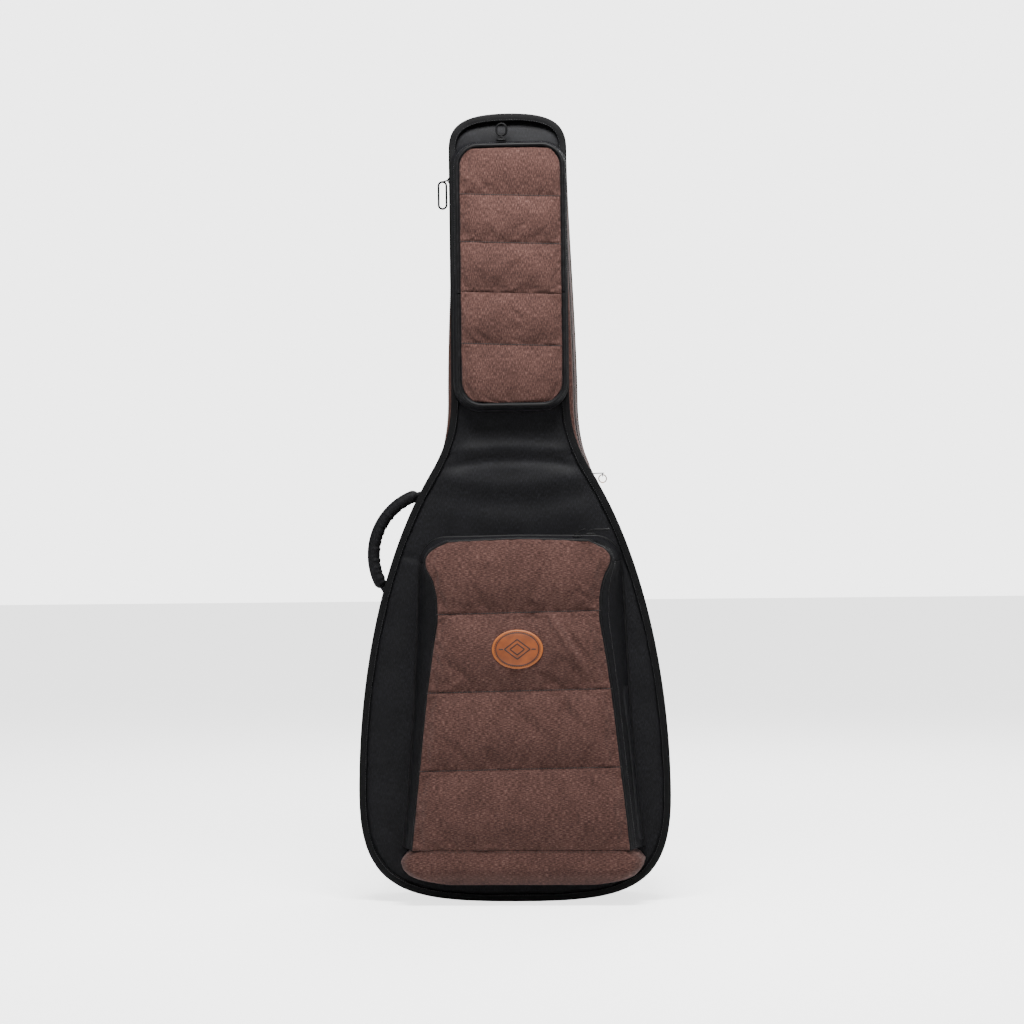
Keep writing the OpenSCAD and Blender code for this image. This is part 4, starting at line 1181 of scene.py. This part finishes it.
for node, body in (("neck_pocket_pull", "neck_pocket_pull"), ("main_zip_pull", "main_pull")):
    low, high = box_of(node)
    middle, half_w, half_h = (low + high) / 2, (high - low)[0] / 2 - 1.0, (high - low)[2] / 2 - 1.0
    turn = np.linspace(0, 2 * math.pi, 60, endpoint=False)
    corner_r = half_w
    loop = np.stack([middle[0] + half_w * np.cos(turn), np.full(60, middle[1]),
                     middle[2] + np.sign(np.sin(turn)) * (half_h - corner_r) + corner_r * np.sin(turn)], 1)
    wire = tube(node + "_wire", loop, 1.5, pull_paint, closed=True, sides=10)
    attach(wire, body)
    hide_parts(node)
for node, body, start, tilt, length in (
        ("body_pocket_pull_left", "pocket_pull_left", (left_c.mean(0)[0], left_c[0][2] + 7.2), 20, 12),
        ("body_pocket_pull_right", "pocket_pull_right", (right_c.mean(0)[0], right_c[0][2] + 7.2), 0, 27)):
    share = np.linspace(0, 1, 26)
    lean_to = math.radians(tilt)
    path = np.stack([start[0] - 0.8 + (length + 0.8) * share * math.cos(lean_to),
                     np.full(26, left_c.mean(0)[1]),
                     start[1] + (length + 0.8) * share * math.sin(lean_to)], 1)
    up = np.repeat([[-math.sin(lean_to), 0, math.cos(lean_to)]], 26, 0)
    grip_part = np.clip((share * length - 4) / 3, 0, 1) * np.clip((1.001 - share) / 0.06, 0.3, 1) ** 0.5
    tab = ribbon(node + "_tab", path, (0, 1, 0), up, 2.6 + 2.4 * grip_part, 1.5 + 1.5 * grip_part,
                 pull_paint, boxy=0.6)
    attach(tab, body)
    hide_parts(node)

link_from = main_c + 4.9 * np.array(main_up) - 1.6 * np.array(main_up)
link_to = box_of("main_zip_pull").mean(0)
link_to[2] = box_of("main_zip_pull")[1][2] - 1.1
a = np.linspace(0, 2 * math.pi, 30, endpoint=False)
run = link_to - link_from
reach_to = np.linalg.norm(run)
run /= reach_to
link = ((link_from + link_to) / 2 + ((reach_to / 2 + 2.4) * np.cos(a))[:, None] * run
        + (2.4 * np.sin(a))[:, None] * np.array([0, 1.0, 0]))
pull_link = tube("main_zip_pull_link", link, 0.8, pull_paint, closed=True, sides=8)
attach(pull_link, "main_pull")

# ---- Carry handle -------------------------------------------------------------------------------
# A grip of foam in black nylon, gathered a little along its inside seam. Its ends narrow to webbing,
# which is sewn to patches on the gusset.

grip_a = np.array([-126.6, 10.0, 578.0])
grip_b = np.array([-184.6, 10.0, 432.0])
grip_len = np.linalg.norm(grip_a - grip_b)
grip_reach = 46.0
grip_r = ((grip_len / 2) ** 2 + grip_reach ** 2) / (2 * grip_reach)
grip_half = math.asin(grip_len / 2 / grip_r)
grip_mid = (grip_a + grip_b) / 2
grip_up = (grip_a - grip_b) / grip_len
grip_out = np.array([-grip_up[2], 0, grip_up[0]])


def grip_point(a, off=0.0, y=0.0):
    """A point on the grip's arc at an angle from its middle, off outwards and y to the back."""
    a = np.asarray(a, float)
    r = grip_r + off
    return (grip_mid + (r * np.cos(a) - grip_r + grip_reach)[..., None] * grip_out
            + (r * np.sin(a))[..., None] * grip_up + np.array([0, 1.0, 0]) * np.asarray(y)[..., None])


a = np.linspace(-grip_half + math.radians(3.6), grip_half - math.radians(5.5), 110)
from_end = np.degrees(grip_half - np.abs(a))
radius = 4.0 + 5.1 * np.clip((from_end - 9) / 4, 0, 1) ** 0.5
pleat = 0.35 * np.sin(a * 64) + 0.3 * np.sin(a * 41 + 1) + 0.25 * np.sin(a * 97 + 2)
around = np.linspace(0, 2 * math.pi, 28, endpoint=False)
inside = 0.5 - 0.5 * np.cos(around)
swell = radius[:, None] + pleat[:, None] * inside[None, :] * np.clip((radius[:, None] - 4) / 4, 0, 1)
swell -= 1.0 * np.exp(-((around[None, :] - math.pi) / 0.16) ** 2) * (radius[:, None] > 7)
P = grip_point(np.repeat(a[:, None], 28, 1), swell * np.cos(around), swell * 0.95 * np.sin(around))
grip = skin("carry_handle_grip", P, black_nylon, sharp=60)
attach(grip, "handle")
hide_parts("carry_handle")
for side in (-1, 1):
    row = grip_point(a[20:-20], -7.6 * np.ones(70), side * 2.2 * np.ones(70))
    seam = stitches("handle_stitches_%d" % (side > 0), [row], thread_black, "handle", pitch=4.0, length=2.8)
webbing = banded("black_polyester_webbing", "#0c0c0e", "#050506", 2.4, 0.55)
for k, (z0, z1) in enumerate(((560, 600), (408, 446))):
    path = stretch_of(GUSSET, 2.0, z0, z1, -1)
    tab = sweep("handle_anchor_%d" % k, path, inward(path, closed=False),
                rounded_band(3.2, 30, 0.7, -3.4), webbing, closed=False, y0=grip_a[1] - 15)
    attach(tab, "case")
    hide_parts("handle_anchors")
    to_in = inward(path, closed=False)
    rows = [at_depth(path[2:-2] - to_in[2:-2] * 3.55, grip_a[1] + off) for off in (-12, 12)]
    box_rows = stitches("handle_anchor_stitches_%d" % k, rows, thread_black, "case", pitch=3.5)

# ---- Side ring ----------------------------------------------------------------------------------
# A small ring of bronze-coloured wire hangs from a folded tab on the right shoulder.

bronze = plain("antique_bronze_plating", "#8a6648", 0.3, metallic=1.0, grain=0.4, depth=0.02)


def repaint(node, material):
    """Gives a carried-over CAD node its own material."""
    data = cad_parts[node].data
    data.materials.clear()
    data.materials.append(material)


repaint("side_ring", bronze)
ring_top = box_of("side_ring").mean(0) + [0, 0, 5.5]
loop_turn = np.linspace(-0.35, 2 * math.pi - 1.0, 26)
eye = ring_top + np.stack([0 * loop_turn, 2.3 * np.sin(loop_turn), 2.3 * np.cos(loop_turn)], 1)
ring_fold = tube("side_ring_fold", eye, 0.55, webbing, sides=8)
lead = np.stack([np.linspace(ring_top[0] + 2, ring_top[0] - 22, 16), np.full(16, ring_top[1]),
                 np.full(16, ring_top[2] + 2.3)], 1)
lead[:, 2] -= 1.2 * np.linspace(0, 1, 16) ** 2
ring_tab = ribbon("side_ring_tape", lead, (0, 1, 0), np.repeat([[0, 0, 1.0]], 16, 0), 10, 1.4, webbing)
for piece in (ring_fold, ring_tab):
    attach(piece, "case")
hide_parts("side_ring_tab")

# ---- Back panel ---------------------------------------------------------------------------------
# The back is padded like the front, bound at its edge, with two mesh pads between the straps.

back_box = box_of("back_panel")
back_y = back_box[1][1]


def outline_grid(half, pitch, columns, inset, crowd=0.45):
    """A grid across an outline, a little way in from its edge."""
    heights, halves = rows_of(half, pitch)
    halves = np.maximum(halves - inset, 0.0)
    across = spread(columns, crowd)
    x = halves[:, None] * across[None, :]
    low, high = heights[0] + inset, heights[-1] - inset
    return x, np.repeat(np.clip(heights, low, high)[:, None], columns, 1)


x, z = outline_grid(gusset_half, 5.0, 90, 1.0)
d = edge_distance(np.stack([x.ravel(), z.ravel()], 1), GUSSET).reshape(x.shape)
crown = 3.0 * (1 - np.exp(-d / 14)) + 0.9 * ripple(x, z, 51, 130) * np.clip(d / 40, 0, 1)
crown *= np.clip((np.abs(z - 645) - 40) / 30, 0.25, 1)
face = np.stack([x, np.full_like(x, back_box[0][1]), z], 2)
rear = np.stack([x, back_y - 2.6 + crown, z], 2)
back_panel = slab("back_panel_nylon", rear, face, black_nylon)
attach(back_panel, "case")
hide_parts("back_panel")
edge_path = even(GUSSET, 4.0)
back_tape = sweep("back_binding_tape", edge_path, inward(edge_path), rounded_band(6.5, 8, 1.6, -0.6),
                  binding_nylon, y0=back_y - 5.6)
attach(back_tape, "case")
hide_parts("back_binding")
edge_row = edge_path + inward(edge_path) * 4.6
back_row = stitches("back_binding_stitches", [at_depth(edge_row, back_y + 2.5)], thread_black, "case",
                    closed=True)


def spacer(name):
    """Knitted spacer mesh: open hexagonal holes about 3 mm apart, on UVs in metres."""
    material, tree = new_material(name)
    uv = add_node(tree, "ShaderNodeUVMap", uv_map="UVMap").outputs[0]
    cells = add_node(tree, "ShaderNodeTexVoronoi", {"Vector": uv, "Scale": 330.0, "Randomness": 0.12})
    # The hole centres get the darker colour and the knit between them the paler one: painted shade inside
    # the holes.
    hole = add_node(tree, "ShaderNodeMapRange", {0: cells.outputs["Distance"], 1: 0.22, 2: 0.42})
    tint = add_node(tree, "ShaderNodeMix", {"Factor": hole.outputs[0], 6: colour("#060607"),
                                            7: colour("#1e1e21")}, data_type="RGBA")
    bump = add_node(tree, "ShaderNodeBump", {"Strength": 0.8, "Distance": 0.7 * MM,
                                             "Height": hole.outputs[0]})
    knit = add_node(tree, "ShaderNodeBsdfPrincipled", {"Base Color": tint.outputs[2],
                                                       "Normal": bump.outputs[0], "Roughness": 0.8})
    knit.inputs["Specular IOR Level"].default_value = 0.3
    add_node(tree, "ShaderNodeOutputMaterial", {"Surface": knit.outputs[0]})
    return material


spacer_mesh = spacer("black_spacer_mesh")


def flat_pad(name, loop, y0, height, material, body, crown_over=14, rumple=0.5, seed=1):
    """A low sewn pad on the back, domed inside its stitched rim."""
    low, high = loop[:, 1].min(), loop[:, 1].max()
    z, left, right = pad_rows(loop, low + 0.2, high - 0.2, 3.5)
    t = (spread(41, 0.3) + 1) / 2
    x = left[:, None] + (right - left)[:, None] * t[None, :]
    zz = np.repeat(z[:, None], len(t), 1)
    d = edge_distance(np.stack([x.ravel(), zz.ravel()], 1), loop).reshape(x.shape)
    out = 1.4 + (height - 1.4) * (1 - np.exp(-np.maximum(d - 4, 0) / crown_over))
    out += rumple * ripple(x, zz, seed, 50) * np.clip(d / 20, 0, 1)
    base = np.stack([x, np.full_like(x, y0), zz], 2)
    pad = slab(name, np.stack([x, y0 + out, zz], 2), base, material, sharp=60)
    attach(pad, body)
    rim = even(loop, 3.5)
    rim = rim + inward(rim) * 2.6
    row = stitches(name + "_stitches", [at_depth(rim, y0 + 1.55)], thread_black, body, closed=True)
    return pad, row


for k, (z0, z1, half_w, r) in enumerate(((400, 560, 38, 18), (170, 340, 60, 24))):
    pad, row = flat_pad("back_pad_%d" % k, pocket_loop(0, z0, z1, half_w, half_w, r, r), back_y - 0.1, 9.0,
                        spacer_mesh, "case", seed=60 + k)
    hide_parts("back_pads")
yoke, row = flat_pad("strap_yoke_pad", pocket_loop(0, 600, 690, 75, 85, 20, 20), back_y - 0.1, 4.6,
                     black_nylon, "case", crown_over=5, rumple=0.15, seed=63)
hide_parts("strap_yoke")

# ---- Shoulder straps ----------------------------------------------------------------------------
# Each strap is a curved foam pad faced in spacer mesh, with webbing from the yoke to its top and,
# through a ladder lock, from its end down to the base of the case.

STRAP_TOP, STRAP_LOW, STRAP_BOW = np.array([60.0, 650.0]), np.array([150.0, 110.0]), 40.0
strap_len = np.linalg.norm(STRAP_LOW - STRAP_TOP)
strap_r = ((strap_len / 2) ** 2 + STRAP_BOW ** 2) / (2 * STRAP_BOW)
strap_half = math.asin(strap_len / 2 / strap_r)
strap_lean = math.atan2(STRAP_LOW[0] - STRAP_TOP[0], STRAP_TOP[1] - STRAP_LOW[1])


def strap_frame(side, s):
    """Points, across and outward directions s millimetres down a strap."""
    a = strap_half - 2 * strap_half * np.asarray(s, float) / strap_len
    turn = side * -strap_lean

    def turned(v):
        return np.stack([v[:, 0] * math.cos(turn) + v[:, 2] * math.sin(turn), v[:, 1],
                         -v[:, 0] * math.sin(turn) + v[:, 2] * math.cos(turn)], 1)

    none = np.zeros_like(a)
    middle = np.array([side * (STRAP_TOP[0] + STRAP_LOW[0]) / 2, back_y + 2,
                       (STRAP_TOP[1] + STRAP_LOW[1]) / 2])
    arc = np.stack([none, strap_r * np.cos(a) + STRAP_BOW - strap_r, strap_r * np.sin(a)], 1)
    path = turned(arc) + middle
    out = turned(np.stack([none, np.cos(a), np.sin(a)], 1))
    return path, np.array([math.cos(turn), 0, -math.sin(turn)]), out


acetal = plain("black_moulded_acetal", "#131315", 0.4, specular=0.5, grain=0.6)
for side, nm in ((-1, "left"), (1, "right")):
    body = "strap_" + nm
    s = np.linspace(110, 390, 110)
    path, across, out = strap_frame(side, s)
    ends = np.clip(np.minimum(s - 110, 390 - s) / 26, 0, 1)
    width = 40 + 18 * np.sin(ends * math.pi / 2)
    rng_s = 0.4 * np.sin(s * 0.21) + 0.3 * np.sin(s * 0.37 + side)
    thick = 4.5 + 8.5 * np.sin(ends * math.pi / 2) ** 0.8 + rng_s * ends
    pad = ribbon(nm + "_strap_pad", path, across, out, width, thick, spacer_mesh, sides=36, boxy=0.55)
    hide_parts(nm + "_shoulder_strap")
    edge = ribbon(nm + "_strap_edge", path + out * -0.2, across, out, width + 2.2, 3.6, binding_nylon,
                  boxy=0.5)
    row = []
    for off in (-1, 1):
        row.append(path + across * off * (width / 2 - 4)[:, None] + out * (thick * 0.44)[:, None])
    seam = stitches(nm + "_strap_stitches", row, thread_black, body, pitch=4.0, length=2.8)
    for piece, finish in ((pad, "spacer_mesh"), (edge, "binding_tape"), (seam, "spacer_mesh")):
        if piece is not seam:
            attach(piece, body)
    for part, s0, s1 in (("upper", 6, 112), ("lower", 404, strap_len - 4)):
        s = np.linspace(s0, s1, 60)
        path, across, out = strap_frame(side, s)
        path[:, 1] = np.maximum(path[:, 1], back_y + (6.4 if part == "upper" else 1.9))
        tail = ribbon("%s_strap_%s_webbing" % (nm, part), path, across, out, 38, 2.8, webbing, boxy=0.3)
        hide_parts(nm + "_strap_tails")
        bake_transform(tail)
    repaint(nm + "_strap_buckle", acetal)

# ---- Hang loop ----------------------------------------------------------------------------------
# A teardrop of webbing on the back of the headstock, sewn down under a small patch.

pivot = np.array([76.0, 1078.0])
drop = np.array([8.0, -75.0])
a = np.linspace(0, 2 * math.pi, 60, endpoint=False)
ring_pts = np.stack([np.cos(a), np.sin(a)], 1)
cloud = np.vstack([ring_pts * 2.5, drop + ring_pts * 9.5])
hull = []
sorted_cloud = cloud[np.lexsort((cloud[:, 1], cloud[:, 0]))]
for pts in (sorted_cloud, sorted_cloud[::-1]):
    chain = []
    for p in pts:
        while len(chain) > 1 and ((chain[-1][0] - chain[-2][0]) * (p[1] - chain[-2][1])
                                  - (chain[-1][1] - chain[-2][1]) * (p[0] - chain[-2][0])) <= 0:
            chain.pop()
        chain.append(p)
    hull += chain[:-1]
drop_line = even(np.array(hull), 1.6)
outwards = -inward(drop_line)
path = np.stack([np.zeros(len(drop_line)), pivot[0] + drop_line[:, 0], pivot[1] + drop_line[:, 1]], 1)
out = np.stack([np.zeros(len(drop_line)), outwards[:, 0], outwards[:, 1]], 1)
hang = ribbon("hang_loop_webbing", path, (1, 0, 0), out, 25, 2.6, webbing, closed=True, boxy=0.3)
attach(hang, "hang_loop")
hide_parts("hang_loop")
patch_pad, row = flat_pad("hang_loop_patch_cloth", pocket_loop(0, 1052, 1090, 22, 22, 5, 5), back_y - 0.1,
                          2.0, black_nylon, "case", crown_over=4, rumple=0.05, seed=64)
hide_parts("hang_loop_patch")

# ---- Hinge strip --------------------------------------------------------------------------------
# Where the zip stops on the lower left, a strip of doubled nylon joins the lid to the case.

strip_line = stretch_of(GUSSET, 4.0, hinge_low, hinge_high, -1)
hinge = sweep("hinge_strip_nylon", strip_line, inward(strip_line, closed=False),
              rounded_band(1.6, 40, 0.6, -2.4), black_nylon, closed=False, y0=zip_y - 10)
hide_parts("hinge_strip")
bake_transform(hinge)
to_in = inward(strip_line, closed=False)
rows = [at_depth(strip_line[2:-2] - to_in[2:-2] * 2.5, zip_y + 26)]
hinge_row = stitches("hinge_strip_stitches", rows, thread_black, "case")

# ---- Inside -------------------------------------------------------------------------------------
# Plush linings, a neck cradle with its hook-and-loop strap, and a block for the guitar's end pin.


def plush(name, base, tip):
    """Short-pile plush: soft clumps some 6 mm across over a fine nap."""
    material, tree = new_material(name)
    place = add_node(tree, "ShaderNodeTexCoord").outputs["Object"]
    clumps = add_node(tree, "ShaderNodeTexNoise", {"Vector": place, "Scale": 160.0, "Detail": 6.0})
    tint = add_node(tree, "ShaderNodeValToRGB", {0: clumps.outputs[0]})
    tint.color_ramp.elements[0].position = 0.35
    tint.color_ramp.elements[0].color = colour(base)
    tint.color_ramp.elements[1].position = 0.7
    tint.color_ramp.elements[1].color = colour(tip)
    bump = add_node(tree, "ShaderNodeBump", {"Strength": 0.6, "Distance": 0.8 * MM,
                                             "Height": clumps.outputs[0]})
    pile = add_node(tree, "ShaderNodeBsdfPrincipled", {"Base Color": tint.outputs[0],
                                                       "Normal": bump.outputs[0], "Roughness": 0.9})
    pile.inputs["Specular IOR Level"].default_value = 0.15
    pile.inputs["Sheen Weight"].default_value = 0.35
    pile.inputs["Sheen Roughness"].default_value = 0.4
    add_node(tree, "ShaderNodeOutputMaterial", {"Surface": pile.outputs[0]})
    return material


charcoal_plush = plush("charcoal_plush", "#1d1b1d", "#353236")
for node, body, face_in in (("back_lining", "case", 0), ("lid_lining", "lid", 1)):
    corners = box_of(node)
    x, z = outline_grid(gusset_half, 6.0, 70, GUSSET_T + 0.8)
    d = edge_distance(np.stack([x.ravel(), z.ravel()], 1), GUSSET).reshape(x.shape) - GUSSET_T
    puff = 0.8 * (1 - np.exp(-np.maximum(d, 0) / 8)) + 0.5 * ripple(x, z, 71 + face_in, 80)
    puff *= np.clip(d / 12, 0, 1)
    seat, show = (corners[1][1], corners[0][1]) if not face_in else (corners[0][1], corners[1][1])
    toward = -1 if not face_in else 1
    top = np.stack([x, show + toward * (puff - 0.8), z], 2)
    under = np.stack([x, np.full_like(x, seat), z], 2)
    lining = slab(node + "_plush", *((top, under) if not face_in else (under, top)), charcoal_plush)
    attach(lining, body)
    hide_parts(node)


def softened(name, node, body, material, voxel, rumple, seed, rounds=6):
    """A sewn foam form of a CAD solid: its edges rounded and its faces a little uneven."""
    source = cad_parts[node]
    mesh = source.data.copy()
    mesh.name = name
    made = bpy.data.objects.new(name, mesh)
    made.matrix_world = source.matrix_world.copy()
    scene.collection.objects.link(made)
    mesh.transform(made.matrix_world)
    made.matrix_world = Matrix.Identity(4)
    work = bmesh.new()
    work.from_mesh(mesh)
    bmesh.ops.remove_doubles(work, verts=work.verts, dist=1e-6)
    work.to_mesh(mesh)
    work.free()
    fine = made.modifiers.new("fine", "REMESH")
    fine.mode = "VOXEL"
    fine.voxel_size = voxel * MM
    bpy.context.view_layer.update()
    dense = bpy.data.meshes.new_from_object(made.evaluated_get(bpy.context.evaluated_depsgraph_get()))
    made.modifiers.clear()
    work = bmesh.new()
    work.from_mesh(dense)
    for _ in range(rounds):
        bmesh.ops.smooth_vert(work, verts=work.verts, factor=0.5, use_axis_x=True, use_axis_y=True,
                              use_axis_z=True)
    work.normal_update()
    at = np.array([v.co for v in work.verts]) / MM
    push = rumple * ripple(at[:, 0] + at[:, 1] * 0.7, at[:, 2] - at[:, 1] * 0.7, seed, 45)
    for v, amount in zip(work.verts, push):
        v.co += v.normal * float(amount) * MM
    work.to_mesh(dense)
    work.free()
    made.data = dense
    dense.materials.clear()
    dense.materials.append(material)
    dense.polygons.foreach_set("use_smooth", [True] * len(dense.polygons))
    layer = dense.uv_layers.new(name="UVMap")
    spots = np.array([dense.vertices[loop.vertex_index].co[:] for loop in dense.loops])
    facing = np.repeat([p.normal[:] for p in dense.polygons], [p.loop_total for p in dense.polygons],
                       axis=0)
    axis = np.abs(facing).argmax(1)
    picks = np.array([(1, 2), (0, 2), (0, 1)])[axis]
    layer.data.foreach_set("uv", np.take_along_axis(spots, picks, 1).ravel())
    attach(made, body)
    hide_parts(node)
    return made


cradle = softened("neck_cradle_plush", "neck_cradle", "case", charcoal_plush, 2.6, 0.5, 81)
block = softened("end_block_plush", "end_block", "case", charcoal_plush, 2.6, 0.5, 82)
keeper = softened("neck_strap_webbing", "neck_strap", "case", webbing, 1.2, 0.1, 83, rounds=2)

# ---- Base guard ---------------------------------------------------------------------------------
# Moulded rubber under the base, glued and sewn on, that the bag stands on.

guard_rubber = plain("black_moulded_rubber", "#161617", 0.62, specular=0.35, grain=1.2, depth=0.15)
repaint("base_guard", guard_rubber)
